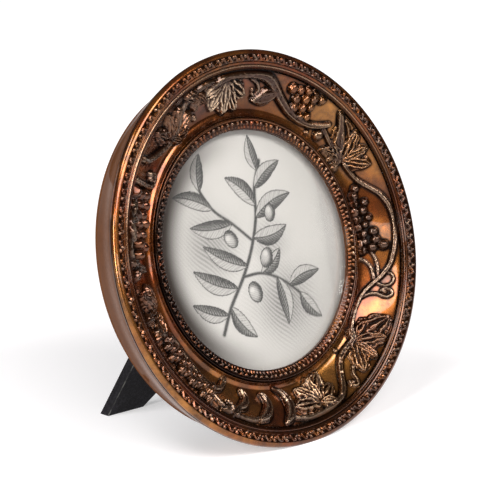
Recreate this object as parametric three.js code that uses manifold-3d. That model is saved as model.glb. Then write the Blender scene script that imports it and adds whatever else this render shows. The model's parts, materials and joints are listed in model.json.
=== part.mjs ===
// Round moulded picture frame with an easel leg, standing on a table and leaning back.
// Millimetres, +Z up. The picture looks towards -Y. The origin is on the table, under the middle of the part.
import * as THREE from 'three';
import { mergeVertices } from 'three/addons/utils/BufferGeometryUtils.js';
import Module from 'manifold-3d';

const wasm = await Module();
wasm.setup();

// Stance
const leanAngle = THREE.MathUtils.degToRad(15.2); // how far the frame leans back from upright
const legAngle = THREE.MathUtils.degToRad(19.2); // how far the open leg stands out from upright
const standFlat = 18; // width of the flat that the rim stands on

// Moulding: radii from the middle of the picture, depths back from the widest line of the rim
const outerRadius = 80;
const frameDepth = 20;
const wallStart = 1; // depth where the side wall starts to taper
const rollWidth = 2.6; // rounded rim
const rollRise = 1.2; // how far the rounded rim stands forward of its widest line
const bandWidth = 3.2; // carved leaf band inside the rim
const bandDepth = 0.9;
const lipWidth = 1.2; // thin raised lip around the hollow
const lipDepth = 0.7;
const sightRadius = 49.2; // edge of the window
const sightLip = 1.4;
const innerBandWidth = 4.2; // sloping band around the window
const innerBandRise = 1.6;
const hollowOffset = 3.8; // from the crest of the inner band to the deepest line of the hollow
const hollowDrop = 2.4;
const hollowFloor = 2.8;
const hollowBelly = 1.6;
const throatWidth = 1.6; // steep wall under the lip
const throatDrop = 2.2;
const shoulderWidth = 0.9; // rounding of the crest and of the lip
const shoulderDrop = 0.5;
const edgeWidth = 0.6;
const edgeDrop = 0.3;
const ringSegments = 60;
const hollowSteps = 7;
const rollSteps = 6;

// Vine in relief on the hollow: each place is an angle in degrees, anticlockwise from the right-hand side,
// and a share of the hollow's width, from the crest to the lip
const stemRadius = 1.3;
const stemLift = 0.5; // centre line of a stem in front of the hollow
const stemSides = 6;
const stemStep = 4.6; // length of one straight piece of a stem
const grapeRadius = 1.8;
const grapeLift = 0.6;
const grapeCrown = 0.6; // how far the middle of a cluster swells
const leafRise = 2.1; // at the foot of the leaf, where its veins meet
const leafTip = 0.9;
const leafNotch = 0.4;
const leafFoot = 2; // from the foot back to the stalk
const leafRoot = 2.4; // how deep a leaf goes into the hollow
const notchShare = 0.5; // how far the notches between lobes cut in
const vineStems = [
  [[104, 0.85], [97, 0.94], [90, 0.95], [83, 0.93], [78, 0.85], [73.5, 0.70], [69, 0.53], [63, 0.38],
    [57, 0.33], [51.5, 0.39], [47.5, 0.52]],
  [[47, 0.54], [41, 0.44], [36, 0.40], [31, 0.39]],
  [[28.5, 0.40], [24, 0.43], [20, 0.50], [17, 0.60], [14, 0.73], [11, 0.84], [6, 0.93], [0, 0.95],
    [-6, 0.92], [-11, 0.85], [-15, 0.78], [-19, 0.63], [-23, 0.44], [-27, 0.30], [-31, 0.22],
    [-37, 0.19], [-43, 0.26], [-47.5, 0.43]],
  [[-48, 0.40], [-53, 0.37], [-57, 0.37], [-60.5, 0.46], [-64, 0.62], [-67.5, 0.79], [-71, 0.90],
    [-76, 0.95], [-82, 0.97], [-88, 0.94], [-93, 0.87]],
  [[-97, 0.92], [-94.4, 0.79], [-92.6, 0.60], [-92.2, 0.41], [-93.4, 0.24], [-95.6, 0.14]],
  [[-110, 0.85], [-106.4, 0.72], [-103.4, 0.54], [-102.5, 0.38], [-103.6, 0.23]],
  [[-122.5, 0.16], [-123, 0.26], [-124.6, 0.40], [-128, 0.48], [-133, 0.47], [-139, 0.37],
    [-145, 0.28], [-150, 0.24], [-154, 0.29]],
  [[144, 0.94], [142.4, 0.75], [139.6, 0.59], [136, 0.47], [132, 0.39], [128, 0.34]],
  [[128, 0.34], [124, 0.47], [120, 0.66], [114, 0.86], [107, 0.93], [101, 0.88]],
];
const vineLeaves = [
  { foot: [97.5, 0.88], tips: [[107.5, 0.68], [104.5, 0.32], [97.5, 0.13], [91, 0.19], [87.2, 0.49]] },
  { foot: [30.5, 0.40], tips: [[23, 0.87], [29, 0.97], [36.5, 0.97], [42.5, 0.93], [38.5, 0.47]] },
  {
    foot: [-48, 0.46],
    tips: [[-57, 0.89], [-49.5, 0.97], [-41, 0.97], [-33.5, 0.92], [-37.5, 0.52], [-44.5, 0.19]],
  },
  {
    foot: [-79, 0.77],
    tips: [[-73.5, 0.90], [-69.6, 0.58], [-71.5, 0.17], [-78.5, 0.15], [-86, 0.30], [-90.2, 0.66]],
  },
  { foot: [195, 0.35], tips: [[184.5, 0.43], [187.4, 0.88], [195, 0.96], [202.6, 0.85], [205, 0.51]] },
  {
    foot: [127, 0.40],
    tips: [[122.4, 0.15], [116.4, 0.24], [114.4, 0.57], [119.6, 0.85], [126.4, 0.96], [133.5, 0.87]],
  },
];
const grapeClusters = [
  { wide: [60.2, 0.95], narrow: [57, 0.42], wideWidth: 18, narrowWidth: 6 },
  { wide: [-8, 0.41], narrow: [17.5, 0.35], wideWidth: 10.5, narrowWidth: 4.5 },
  { wide: [-130.5, 0.74], narrow: [-153, 0.58], wideWidth: 9.5, narrowWidth: 6 },
  { wide: [153.5, 0.57], narrow: [174, 0.40], wideWidth: 12.5, narrowWidth: 5.5 },
];

// Glazing and back, in order from the front
const fitGap = 0.3;
const rabbetStep = 2.8; // how far the rabbet reaches outside the window
const glassThickness = 1.8;
const printThickness = 0.3;
const cardThickness = 0.8;
const boardThickness = 2.5;
const boardInset = 0.2; // how far the board lies below the back of the ring
const discSegments = 48;

// Easel leg, drawn on its own slanting centre line
const legWidth = 24;
const legThickness = 4.8;
const legSlant = THREE.MathUtils.degToRad(18.5); // the foot stands to one side of the hinge
const legTop = 9; // how far the leg reaches above the hinge pin to rest on the board
const footWidth = 18.8;
const hingeHeight = 18; // hinge pin above the middle of the picture

// Hinge of two folded leaves on one pin
const hingeWidth = 20;
const leafHeight = 12;
const leafThickness = 0.8;
const pinRadius = 0.8;
const pinOverhang = 0.3;
const knuckleWall = 0.6;
const middleKnuckle = 7.8;
const rivetEdge = 3.5; // board leaf's rivets in from its ends, so that the leg leaf's pass between them
const legRivetSpacing = 5;
const rivetDrop = 7.5;
const rivetRadius = 0.9;
const rivetHeadRadius = 1.8;
const rivetHeadHeight = 0.7;
const rivetGrip = 1.7; // how deep a rivet goes into the board or the leg
const roundSegments = 16;
const smallSegments = 12;
const domeSteps = 4;

// Turn buttons that hold the back in
const buttonCount = 4;
const buttonLength = 16;
const buttonWidth = 7;
const buttonThickness = 0.8;
const buttonOffset = 5.5; // pivot outside the rabbet
const screwRadius = 1;
const screwHeadRadius = 2.3;
const screwHeadHeight = 1;
const screwGrip = 3.5;

// Wall hanger at the top of the back
const strapWidth = 8;
const strapLength = 14;
const strapThickness = 0.8;
const strapEdge = 1.2; // metal left below the screw head
const hangerWire = 0.8;
const hangerWidth = 12;
const hangerDrop = 11;
const hangerRound = 5.5; // height of the loop's round end
const hangerCorner = 2.5;
const wireSteps = 40;
const wireSides = 6;

const bronze = { color: 0x7a4522, roughness: 0.35, metalness: 0.55 };
const glassLook = { color: 0xeaf0ef, roughness: 0.05, metalness: 0, transparent: true, opacity: 0.25 };
const paper = { color: 0xd9d6d0, roughness: 0.85, metalness: 0 };
const card = { color: 0xa98f6b, roughness: 0.9, metalness: 0 };
const flock = { color: 0x151515, roughness: 0.95, metalness: 0 };
const steel = { color: 0x9c9a94, roughness: 0.4, metalness: 0.9 };
const brass = { color: 0xb08d45, roughness: 0.35, metalness: 0.9 };

const picture = new THREE.Group();
picture.name = 'round_picture_frame';
const leaning = new THREE.Group();
leaning.rotation.x = -leanAngle;
picture.add(leaning);

function addPart(group, name, geometry, look) {
  geometry.computeVertexNormals();
  const mesh = new THREE.Mesh(geometry, new THREE.MeshStandardMaterial(look));
  mesh.name = name;
  group.add(mesh);
  return mesh;
}

// Closed geometry to a solid that can be joined and cut, and back
function solidOf(geometry) {
  const bare = geometry.clone();
  bare.deleteAttribute('normal');
  bare.deleteAttribute('uv');
  const merged = mergeVertices(bare, 1e-4);
  const vertProperties = new Float32Array(merged.attributes.position.array);
  const triVerts = new Uint32Array(merged.index.array);
  return new wasm.Manifold(new wasm.Mesh({ numProp: 3, vertProperties, triVerts }));
}

function geometryOf(solid) {
  const mesh = solid.getMesh();
  const geometry = new THREE.BufferGeometry();
  geometry.setAttribute('position', new THREE.BufferAttribute(new Float32Array(mesh.vertProperties), 3));
  geometry.setIndex(new THREE.BufferAttribute(new Uint32Array(mesh.triVerts), 1));
  return geometry;
}

function point(x, y) {
  return new THREE.Vector2(x, y);
}

// Round solid about the picture's own axis, from a profile of (radius, depth) points
function turned(profile, segments) {
  const closed = [...profile, profile[0].clone()];
  return new THREE.LatheGeometry(closed, segments);
}

// Cylinder along Y, its front face at depth
function drum(radius, depth, thickness, segments) {
  const geometry = new THREE.CylinderGeometry(radius, radius, thickness, segments);
  return geometry.translate(0, depth + thickness / 2, 0);
}

// Box given by its lowest corner and its sizes
function block(x, y, z, width, depth, height) {
  const geometry = new THREE.BoxGeometry(width, depth, height);
  return geometry.translate(x + width / 2, y + depth / 2, z + height / 2);
}

// Cylinder along X, centred
function rod(radius, length, segments) {
  return new THREE.CylinderGeometry(radius, radius, length, segments).rotateZ(Math.PI / 2);
}

// Height of the table under the middle of the picture, in the upright frame
const rimDrop = outerRadius * Math.cos(leanAngle) + wallStart * Math.sin(leanAngle);
const flatCut = outerRadius - Math.sqrt(outerRadius ** 2 - (standFlat / 2) ** 2);
const tableDrop = rimDrop - flatCut;

// Everything under the table, seen from a frame turned by angle about X with its origin at rise above the table
function belowTable(angle, rise) {
  const size = 4 * outerRadius;
  const slab = new THREE.BoxGeometry(size, size, size).translate(0, 0, -size / 2 - rise);
  return solidOf(slab.rotateX(-angle));
}

// Radii and depths of the moulding's edges
const rollRadius = outerRadius - rollWidth;
const bandRadius = rollRadius - bandWidth;
const lipRadius = bandRadius - lipWidth;
const rearRadius = outerRadius - (frameDepth - wallStart) * Math.tan(leanAngle);
const crestRadius = sightRadius + innerBandWidth;
const hollowRadius = crestRadius + hollowOffset;
const rabbetRadius = sightRadius + rabbetStep;
const paneRadius = rabbetRadius - fitGap;

// Depths of the glazing stack, which fills the rabbet from the back
const boardBack = frameDepth - boardInset;
const boardFront = boardBack - boardThickness;
const cardFront = boardFront - fitGap - cardThickness;
const printFront = cardFront - fitGap - printThickness;
const glassFront = printFront - fitGap - glassThickness;
const ledgeDepth = glassFront - fitGap;
const sightDepth = ledgeDepth - sightLip;
const crestDepth = sightDepth - innerBandRise;
const hollowDepth = crestDepth + hollowDrop;

// Places of the screws in the back of the moulding
const buttonPivotRadius = rabbetRadius + buttonOffset;
const buttonPlaces = [];
for (let i = 0; i < buttonCount; i += 1) {
  buttonPlaces.push(((i + 0.5) * 2 * Math.PI) / buttonCount);
}
const knuckleBore = pinRadius + fitGap;
const knuckleRadius = knuckleBore + knuckleWall;
const strapKnuckle = hangerWire + fitGap + knuckleWall;
const strapScrewDrop = strapLength - screwHeadRadius - strapEdge; // screw below the hanger's pivot
const hangerHeight = (rabbetRadius + rearRadius + strapLength) / 2; // strap in the middle of the back's width

function screwHole(x, z) {
  const length = screwGrip + 2 * fitGap;
  const hole = drum(screwRadius + fitGap, frameDepth - screwGrip - fitGap, length, smallSegments);
  return solidOf(hole.translate(x, 0, z));
}

// Section of the hollow between the crest and the lip
const hollow = new THREE.SplineCurve([
  point(crestRadius + shoulderWidth, crestDepth + shoulderDrop),
  point(hollowRadius - hollowFloor / 2, hollowDepth - shoulderDrop),
  point(hollowRadius + hollowFloor / 2, hollowDepth - shoulderDrop),
  point((hollowRadius + lipRadius) / 2, (hollowDepth + lipDepth) / 2 + hollowBelly),
  point(lipRadius - throatWidth, lipDepth + throatDrop),
  point(lipRadius - shoulderWidth, lipDepth + shoulderDrop),
]);
const hollowLine = hollow.getPoints(hollowSteps);

// A place on the vine, as a point in the plane of the picture
function vinePlace([angle, share]) {
  const first = hollowLine[0].x;
  const radius = first + share * (hollowLine[hollowSteps].x - first);
  const turn = THREE.MathUtils.degToRad(angle);
  return point(radius * Math.cos(turn), radius * Math.sin(turn));
}

// The same point set in front of the hollow's surface by lift
function onHollow(place, lift) {
  const radius = place.length();
  let i = 1;
  while (i < hollowSteps && hollowLine[i].x < radius) {
    i += 1;
  }
  const near = hollowLine[i - 1];
  const along = hollowLine[i].clone().sub(near);
  const depth = near.y + (along.y * (radius - near.x)) / along.x;
  along.normalize();
  const out = (radius + along.y * lift) / radius;
  return new THREE.Vector3(place.x * out, depth - along.x * lift, place.y * out);
}

function vineStem(places) {
  const corners = [];
  for (let i = 0; i < stemSides; i += 1) {
    const turn = (2 * Math.PI * i) / stemSides;
    corners.push(point(stemRadius * Math.cos(turn), stemRadius * Math.sin(turn)));
  }
  const path = new THREE.CatmullRomCurve3(places.map((place) => onHollow(vinePlace(place), stemLift)));
  const steps = Math.ceil(path.getLength() / stemStep);
  return new THREE.ExtrudeGeometry(new THREE.Shape(corners), { steps, extrudePath: path });
}

// Leaf with a ridge to the tip of each lobe and a notch between two lobes
function vineLeaf({ foot, tips }) {
  const middle = vinePlace(foot);
  const ends = tips.map(vinePlace);
  const lean = ends.reduce((sum, end) => sum.add(end), point(0, 0)).divideScalar(ends.length).sub(middle);
  const outline = [];
  ends.forEach((end, i) => {
    outline.push({ place: end, rise: leafTip });
    if (i < ends.length - 1) {
      const between = end.clone().add(ends[i + 1]).divideScalar(2);
      outline.push({ place: middle.clone().lerp(between, notchShare), rise: leafNotch });
    }
  });
  outline.push({ place: middle.clone().addScaledVector(lean.normalize(), -leafFoot), rise: leafTip });
  const count = outline.length;
  const points = [onHollow(middle, leafRise), onHollow(middle, -leafRoot)];
  for (const { place, rise } of outline) {
    points.push(onHollow(place, rise), onHollow(place, -leafRoot));
  }
  const index = [];
  for (let i = 0; i < count; i += 1) {
    const here = 2 + 2 * i;
    const next = 2 + 2 * ((i + 1) % count);
    index.push(0, here, next, 1, next + 1, here + 1, here, here + 1, next, here + 1, next + 1, next);
  }
  const geometry = new THREE.BufferGeometry().setFromPoints(points);
  geometry.setIndex(index);
  return geometry;
}

// Rows of grapes, fewer towards the narrow end, swelling in the middle
function grapes({ wide, narrow, wideWidth, narrowWidth }) {
  const start = vinePlace(wide);
  const axis = vinePlace(narrow).sub(start);
  const side = point(-axis.y, axis.x).normalize();
  const rows = Math.round(axis.length() / (2 * grapeRadius)) + 1;
  const berries = [];
  for (let row = 0; row < rows; row += 1) {
    const share = row / (rows - 1);
    const width = THREE.MathUtils.lerp(wideWidth, narrowWidth, share);
    const count = Math.max(1, Math.round(width / (2 * grapeRadius)));
    for (let i = 0; i < count; i += 1) {
      const offset = (2 * i - count + 1 + (row % 2) / 2) * grapeRadius;
      const place = start.clone().addScaledVector(axis, share).addScaledVector(side, offset);
      place.clampLength(hollowLine[0].x, hollowLine[hollowSteps - 1].x);
      const swell = grapeCrown * (1 - (2 * offset) ** 2 / (width + 2 * grapeRadius) ** 2);
      const seat = onHollow(place, grapeLift + swell);
      const berry = new THREE.IcosahedronGeometry(grapeRadius);
      berries.push(berry.translate(seat.x, seat.y, seat.z));
    }
  }
  return berries;
}

// Moulded ring: side wall, rolled rim, leaf band, lip, hollow with the vine, crest, inner band and rabbet
function frameRing() {
  const rollMiddle = outerRadius - rollWidth / 2;
  const roll = new THREE.EllipseCurve(rollMiddle, 0, rollWidth / 2, rollRise, Math.PI, 2 * Math.PI);
  const profile = [
    point(sightRadius, ledgeDepth),
    point(sightRadius, sightDepth),
    point(crestRadius - edgeWidth, crestDepth + edgeDrop),
    point(crestRadius, crestDepth),
    ...hollowLine,
    point(lipRadius, lipDepth),
    point(lipRadius + edgeWidth, lipDepth + edgeDrop),
    point(bandRadius, bandDepth),
    ...roll.getPoints(rollSteps),
    point(outerRadius, wallStart),
    point(rearRadius, frameDepth),
    point(rabbetRadius, frameDepth),
    point(rabbetRadius, ledgeDepth),
  ];
  let ring = solidOf(turned(profile, ringSegments));
  const vine = [...vineStems.map(vineStem), ...vineLeaves.map(vineLeaf), ...grapeClusters.flatMap(grapes)];
  for (const piece of vine) {
    ring = ring.add(solidOf(piece));
  }
  for (const place of buttonPlaces) {
    const x = buttonPivotRadius * Math.cos(place);
    const z = buttonPivotRadius * Math.sin(place);
    ring = ring.subtract(screwHole(x, z));
  }
  ring = ring.subtract(screwHole(0, hangerHeight - strapScrewDrop));
  ring = ring.subtract(belowTable(-leanAngle, tableDrop));
  return geometryOf(ring);
}
addPart(leaning, 'frame_ring', frameRing(), bronze);

// Glass, picture and filler card
addPart(leaning, 'glass_pane', drum(paneRadius, glassFront, glassThickness, discSegments), glassLook);
addPart(leaning, 'picture_print', drum(paneRadius, printFront, printThickness, discSegments), paper);
addPart(leaning, 'filler_card', drum(paneRadius, cardFront, cardThickness, discSegments), card);

// Where the hinge pin lies, in the leaning frame
const pinDepth = boardBack + fitGap + knuckleRadius;
const legFace = knuckleRadius + fitGap; // front of the leg behind the pin
const leafPlate = knuckleRadius - leafThickness;
const boardRivets = [rivetEdge - hingeWidth / 2, hingeWidth / 2 - rivetEdge];
const legRivets = [-legRivetSpacing / 2, legRivetSpacing / 2];

// Hole for a rivet, its mouth at depth y
function rivetHole(x, y, z, length) {
  return solidOf(drum(rivetRadius + fitGap, y, length, smallSegments).translate(x, 0, z));
}

function backingBoard() {
  let board = solidOf(drum(paneRadius, boardFront, boardThickness, discSegments));
  const depth = rivetGrip + fitGap;
  for (const x of boardRivets) {
    board = board.subtract(rivetHole(x, boardBack - depth, hingeHeight - rivetDrop, depth + fitGap));
  }
  return geometryOf(board);
}
addPart(leaning, 'backing_board', backingBoard(), flock);

const hinge = new THREE.Group();
hinge.position.set(0, pinDepth, hingeHeight);
leaning.add(hinge);
const leg = new THREE.Group();
leg.rotation.x = leanAngle + legAngle;
hinge.add(leg);

// Hinge leaf: a plate below the pin with knuckles wrapped around it; side is -1 at the board, 1 at the leg
function hingeLeaf(side, knuckles, rivets) {
  const plateFront = side < 0 ? -knuckleRadius : leafPlate;
  const tongueDrop = knuckleRadius + fitGap;
  const plateHeight = leafHeight - tongueDrop;
  let leaf = solidOf(block(-hingeWidth / 2, plateFront, -leafHeight, hingeWidth, leafThickness, plateHeight));
  for (const [middle, length] of knuckles) {
    leaf = leaf.add(solidOf(rod(knuckleRadius, length, roundSegments).translate(middle, 0, 0)));
    const tongueHeight = leafHeight / 2;
    const start = middle - length / 2;
    leaf = leaf.add(solidOf(block(start, plateFront, -tongueHeight, length, leafThickness, tongueHeight)));
  }
  leaf = leaf.subtract(solidOf(rod(knuckleBore, hingeWidth + 2 * fitGap, roundSegments)));
  for (const x of rivets) {
    leaf = leaf.subtract(rivetHole(x, plateFront - fitGap, -rivetDrop, leafThickness + 2 * fitGap));
  }
  return geometryOf(leaf);
}
const outerKnuckle = (hingeWidth - middleKnuckle) / 2 - fitGap;
const outerMiddle = (hingeWidth - outerKnuckle) / 2;
const boardKnuckles = [[-outerMiddle, outerKnuckle], [outerMiddle, outerKnuckle]];
addPart(hinge, 'hinge_board_leaf', hingeLeaf(-1, boardKnuckles, boardRivets), steel);
addPart(leg, 'hinge_leg_leaf', hingeLeaf(1, [[0, middleKnuckle]], legRivets), steel);
addPart(hinge, 'hinge_pin', rod(pinRadius, hingeWidth + 2 * pinOverhang, smallSegments), steel);

// Domed rivet along Y with its head at the front, seat at y = 0
function rivet(headRadius, headHeight, radius, shank) {
  const dome = new THREE.EllipseCurve(0, 0, headRadius, headHeight, -Math.PI / 2, 0);
  const profile = [...dome.getPoints(domeSteps), point(radius, 0), point(radius, shank), point(0, shank)];
  profile[0].x = 0;
  return new THREE.LatheGeometry(profile, smallSegments);
}
const rivetShank = leafThickness + 2 * fitGap + rivetGrip;
boardRivets.forEach((x, i) => {
  const boardRivet = rivet(rivetHeadRadius, rivetHeadHeight, rivetRadius, rivetShank).rotateX(Math.PI);
  boardRivet.translate(x, -leafPlate + fitGap, -rivetDrop);
  addPart(hinge, `board_leaf_rivet_${i + 1}`, boardRivet, brass);
});
legRivets.forEach((x, i) => {
  const legRivet = rivet(rivetHeadRadius, rivetHeadHeight, rivetRadius, rivetShank);
  legRivet.translate(x, leafPlate - fitGap, -rivetDrop);
  addPart(leg, `leg_leaf_rivet_${i + 1}`, legRivet, brass);
});

// Leg: a slanting strut cut level at the foot, one corner cut off, its top bevelled to rest on the board
function easelLeg() {
  const pinRise = hingeHeight * Math.cos(leanAngle) - pinDepth * Math.sin(leanAngle) + tableDrop;
  const backDrop = (pinRise + (legFace + legThickness) * Math.sin(legAngle)) / Math.cos(legAngle);
  const reach = backDrop + legThickness; // longer than needed, then cut level with the table
  const footDrop = (pinRise + legFace * Math.sin(legAngle)) / Math.cos(legAngle);
  const slope = Math.tan(legSlant);
  const left = (drop) => -legWidth / 2 - slope * drop;
  const cutStart = left(footDrop) + footWidth;
  const cutRise = (left(footDrop) + legWidth - cutStart) / (1 - slope);
  const below = reach - footDrop;
  const outline = new THREE.Shape([
    point(left(reach), -reach),
    point(cutStart - below, -reach),
    point(cutStart + cutRise, cutRise - footDrop),
    point(left(-legTop) + legWidth, legTop),
    point(left(-legTop), legTop),
  ]);
  const strut = new THREE.ExtrudeGeometry(outline, { depth: legThickness, bevelEnabled: false });
  strut.rotateX(Math.PI / 2).translate(0, legFace + legThickness, 0);
  let solid = solidOf(strut).subtract(belowTable(legAngle, pinRise));
  const size = 4 * legTop;
  const boardSide = new THREE.BoxGeometry(2 * outerRadius, size, size).translate(0, -size / 2, 0);
  boardSide.translate(0, -knuckleRadius, 0).rotateX(-leanAngle - legAngle);
  solid = solid.subtract(solidOf(boardSide));
  for (const x of legRivets) {
    solid = solid.subtract(rivetHole(x, legFace - fitGap, -rivetDrop, rivetGrip + 2 * fitGap));
  }
  return geometryOf(solid);
}
addPart(leg, 'easel_leg', easelLeg(), flock);

// Screw along Y with its head at the back, underside of the head at y = 0
function panScrew() {
  const dome = new THREE.EllipseCurve(0, 0, screwHeadRadius, screwHeadHeight, 0, Math.PI / 2);
  const shank = buttonThickness + 2 * fitGap + screwGrip;
  const stalk = [point(0, -shank), point(screwRadius, -shank), point(screwRadius, 0)];
  const profile = [...stalk, ...dome.getPoints(domeSteps)];
  profile[profile.length - 1].x = 0;
  return new THREE.LatheGeometry(profile, smallSegments);
}

// Turn button: a flat tongue with round ends, turning on its screw and reaching in over the board
function turnButton() {
  const half = buttonWidth / 2;
  const reach = buttonLength / 2 - half;
  const outline = new THREE.Shape();
  outline.absarc(reach, 0, half, -Math.PI / 2, Math.PI / 2, false);
  outline.absarc(-reach, 0, half, Math.PI / 2, (3 * Math.PI) / 2, false);
  const hole = new THREE.Path().absarc(0, 0, screwRadius + fitGap, 0, 2 * Math.PI, true);
  outline.holes.push(hole);
  const options = { depth: buttonThickness, bevelEnabled: false, curveSegments: 8 };
  return new THREE.ExtrudeGeometry(outline, options).rotateX(Math.PI / 2).translate(0, buttonThickness, 0);
}
const buttonFront = frameDepth + fitGap;
buttonPlaces.forEach((place, i) => {
  const pivot = new THREE.Group();
  pivot.position.set(buttonPivotRadius * Math.cos(place), buttonFront, buttonPivotRadius * Math.sin(place));
  pivot.rotation.y = -place;
  leaning.add(pivot);
  addPart(pivot, `turn_button_${i + 1}`, turnButton(), brass);
  const screw = addPart(pivot, `turn_button_screw_${i + 1}`, panScrew(), steel);
  screw.position.y = buttonThickness + fitGap;
});

// Hanger strap with a knuckle at its top, screwed to the back of the ring
function hangerStrap() {
  const middle = strapKnuckle;
  let strap = solidOf(block(-strapWidth / 2, 0, -strapLength, strapWidth, strapThickness, strapLength));
  strap = strap.add(solidOf(rod(strapKnuckle, strapWidth, roundSegments).translate(0, middle, 0)));
  const bore = rod(hangerWire + fitGap, strapWidth + 2 * fitGap, roundSegments);
  strap = strap.subtract(solidOf(bore.translate(0, middle, 0)));
  const hole = drum(screwRadius + fitGap, -fitGap, strapThickness + 2 * fitGap, smallSegments);
  return geometryOf(strap.subtract(solidOf(hole.translate(0, 0, -strapScrewDrop))));
}
const hanger = new THREE.Group();
hanger.position.set(0, buttonFront, hangerHeight);
leaning.add(hanger);
addPart(hanger, 'hanger_strap', hangerStrap(), steel);
const hangerScrew = addPart(hanger, 'hanger_screw', panScrew(), steel);
hangerScrew.position.set(0, strapThickness + fitGap, -strapScrewDrop);

// Wire loop: a closed tube along an outline in the XZ plane
function wireLoop(outline, radius, sides) {
  const path = outline.getSpacedPoints(wireSteps).slice(0, -1);
  const positions = [];
  const index = [];
  const count = path.length;
  path.forEach((p, i) => {
    const along = path[(i + 1) % count].clone().sub(path[(i + count - 1) % count]).normalize();
    for (let j = 0; j < sides; j += 1) {
      const turn = (2 * Math.PI * j) / sides;
      const out = radius * Math.cos(turn);
      positions.push(p.x + along.y * out, radius * Math.sin(turn), p.y - along.x * out);
      const next = (j + 1) % sides;
      const here = i * sides;
      const there = ((i + 1) % count) * sides;
      index.push(here + j, here + next, there + j, here + next, there + next, there + j);
    }
  });
  const geometry = new THREE.BufferGeometry();
  geometry.setAttribute('position', new THREE.Float32BufferAttribute(positions, 3));
  geometry.setIndex(index);
  return geometry;
}

function hangerOutline() {
  const half = hangerWidth / 2;
  const outline = new THREE.Shape();
  outline.moveTo(0, 0);
  outline.lineTo(half - hangerCorner, 0);
  outline.absarc(half - hangerCorner, -hangerCorner, hangerCorner, Math.PI / 2, 0, true);
  outline.lineTo(half, -hangerDrop + hangerRound);
  outline.absellipse(0, -hangerDrop + hangerRound, half, hangerRound, 0, -Math.PI, true);
  outline.lineTo(-half, -hangerCorner);
  outline.absarc(-half + hangerCorner, -hangerCorner, hangerCorner, Math.PI, Math.PI / 2, true);
  outline.lineTo(0, 0);
  return outline;
}
const swing = new THREE.Group();
swing.position.set(0, strapKnuckle, 0);
swing.rotation.x = leanAngle; // hangs straight down
hanger.add(swing);
addPart(swing, 'hanger_ring', wireLoop(hangerOutline(), hangerWire, wireSides), steel);

// Stand the part on the table with its footprint centred on the origin
const reachBox = new THREE.Box3().setFromObject(picture, true);
const footprint = reachBox.getCenter(new THREE.Vector3());
leaning.position.set(-footprint.x, -footprint.y, tableDrop);

export default picture;
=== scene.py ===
import json
import math

import bmesh
import bpy
import numpy as np
from mathutils import Matrix, Vector


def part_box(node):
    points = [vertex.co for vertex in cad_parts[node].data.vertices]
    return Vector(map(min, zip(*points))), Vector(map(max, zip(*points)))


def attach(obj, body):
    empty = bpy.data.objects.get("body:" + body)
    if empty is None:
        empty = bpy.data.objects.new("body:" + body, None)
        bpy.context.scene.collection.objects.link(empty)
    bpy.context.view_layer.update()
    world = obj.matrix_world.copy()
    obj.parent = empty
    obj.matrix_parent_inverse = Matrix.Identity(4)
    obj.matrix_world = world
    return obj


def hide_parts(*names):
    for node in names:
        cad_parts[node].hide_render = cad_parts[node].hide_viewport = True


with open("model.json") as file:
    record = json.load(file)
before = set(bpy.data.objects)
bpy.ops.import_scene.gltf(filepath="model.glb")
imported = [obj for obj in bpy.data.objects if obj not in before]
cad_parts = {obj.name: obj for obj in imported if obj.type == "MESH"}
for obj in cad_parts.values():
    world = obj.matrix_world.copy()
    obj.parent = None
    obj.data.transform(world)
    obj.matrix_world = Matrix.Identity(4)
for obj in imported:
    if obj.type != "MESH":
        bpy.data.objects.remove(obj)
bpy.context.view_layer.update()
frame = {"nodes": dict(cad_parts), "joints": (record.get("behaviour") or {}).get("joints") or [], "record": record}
print("frame loaded:", len(frame["nodes"]), "nodes")

mm = 0.001
jointOf = {joint["name"]: joint for joint in frame["joints"]}

# The picture's own frame: side, straight back through the picture, and up along its face
glazing = {"paneDepth": 14.4}  # middle of the glass behind the rim's widest line, in millimetres
across = Vector((1, 0, 0))
backward = Vector(jointOf["button_turn_1"]["axis"]).normalized()
upward = across.cross(backward)
paneLow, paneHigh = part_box("glass_pane")
rimCentre = (paneLow + paneHigh) / 2 - backward * glazing["paneDepth"] * mm
discMatrix = Matrix((across, backward, upward)).transposed().to_4x4()
discMatrix.translation = rimCentre
turnPart = np.array(discMatrix.to_3x3())
centrePart = np.array(rimCentre)


def toWorld(points):  # x, depth and rise in millimetres to metres
    return (points * mm) @ turnPart.T + centrePart


def show(thing):  # into the scene
    bpy.context.scene.collection.objects.link(thing)
    return thing


def worked(mesh, work):  # mesh operations on it
    shape = bmesh.new()
    shape.from_mesh(mesh)
    work(shape)
    shape.to_mesh(mesh)
    shape.free()
    return mesh


# Camera, floor and light
shot = {
    "azimuth": 41.624, "elevation": 12.38, "rimRadius": 0.080, "distance": 7.0077,
    "lens": 100.8, "aside": 0.14525, "above": 0.02018,
}


def addCamera():
    turn, rise = math.radians(shot["azimuth"]), math.radians(shot["elevation"])
    ahead = Vector((math.sin(turn) * math.cos(rise), math.cos(turn) * math.cos(rise), -math.sin(rise)))
    right = Vector((math.cos(turn), -math.sin(turn), 0))
    top = right.cross(ahead)
    data = bpy.data.cameras.new("camera")
    data.lens = shot["lens"]
    data.sensor_width = 36
    data.clip_end = 100
    camera = show(bpy.data.objects.new("camera", data))
    offset = ahead * shot["distance"] + right * shot["aside"] + top * shot["above"]
    camera.matrix_world = Matrix((right, top, -ahead)).transposed().to_4x4()
    camera.matrix_world.translation = rimCentre - offset * shot["rimRadius"]
    bpy.context.scene.camera = camera


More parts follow.
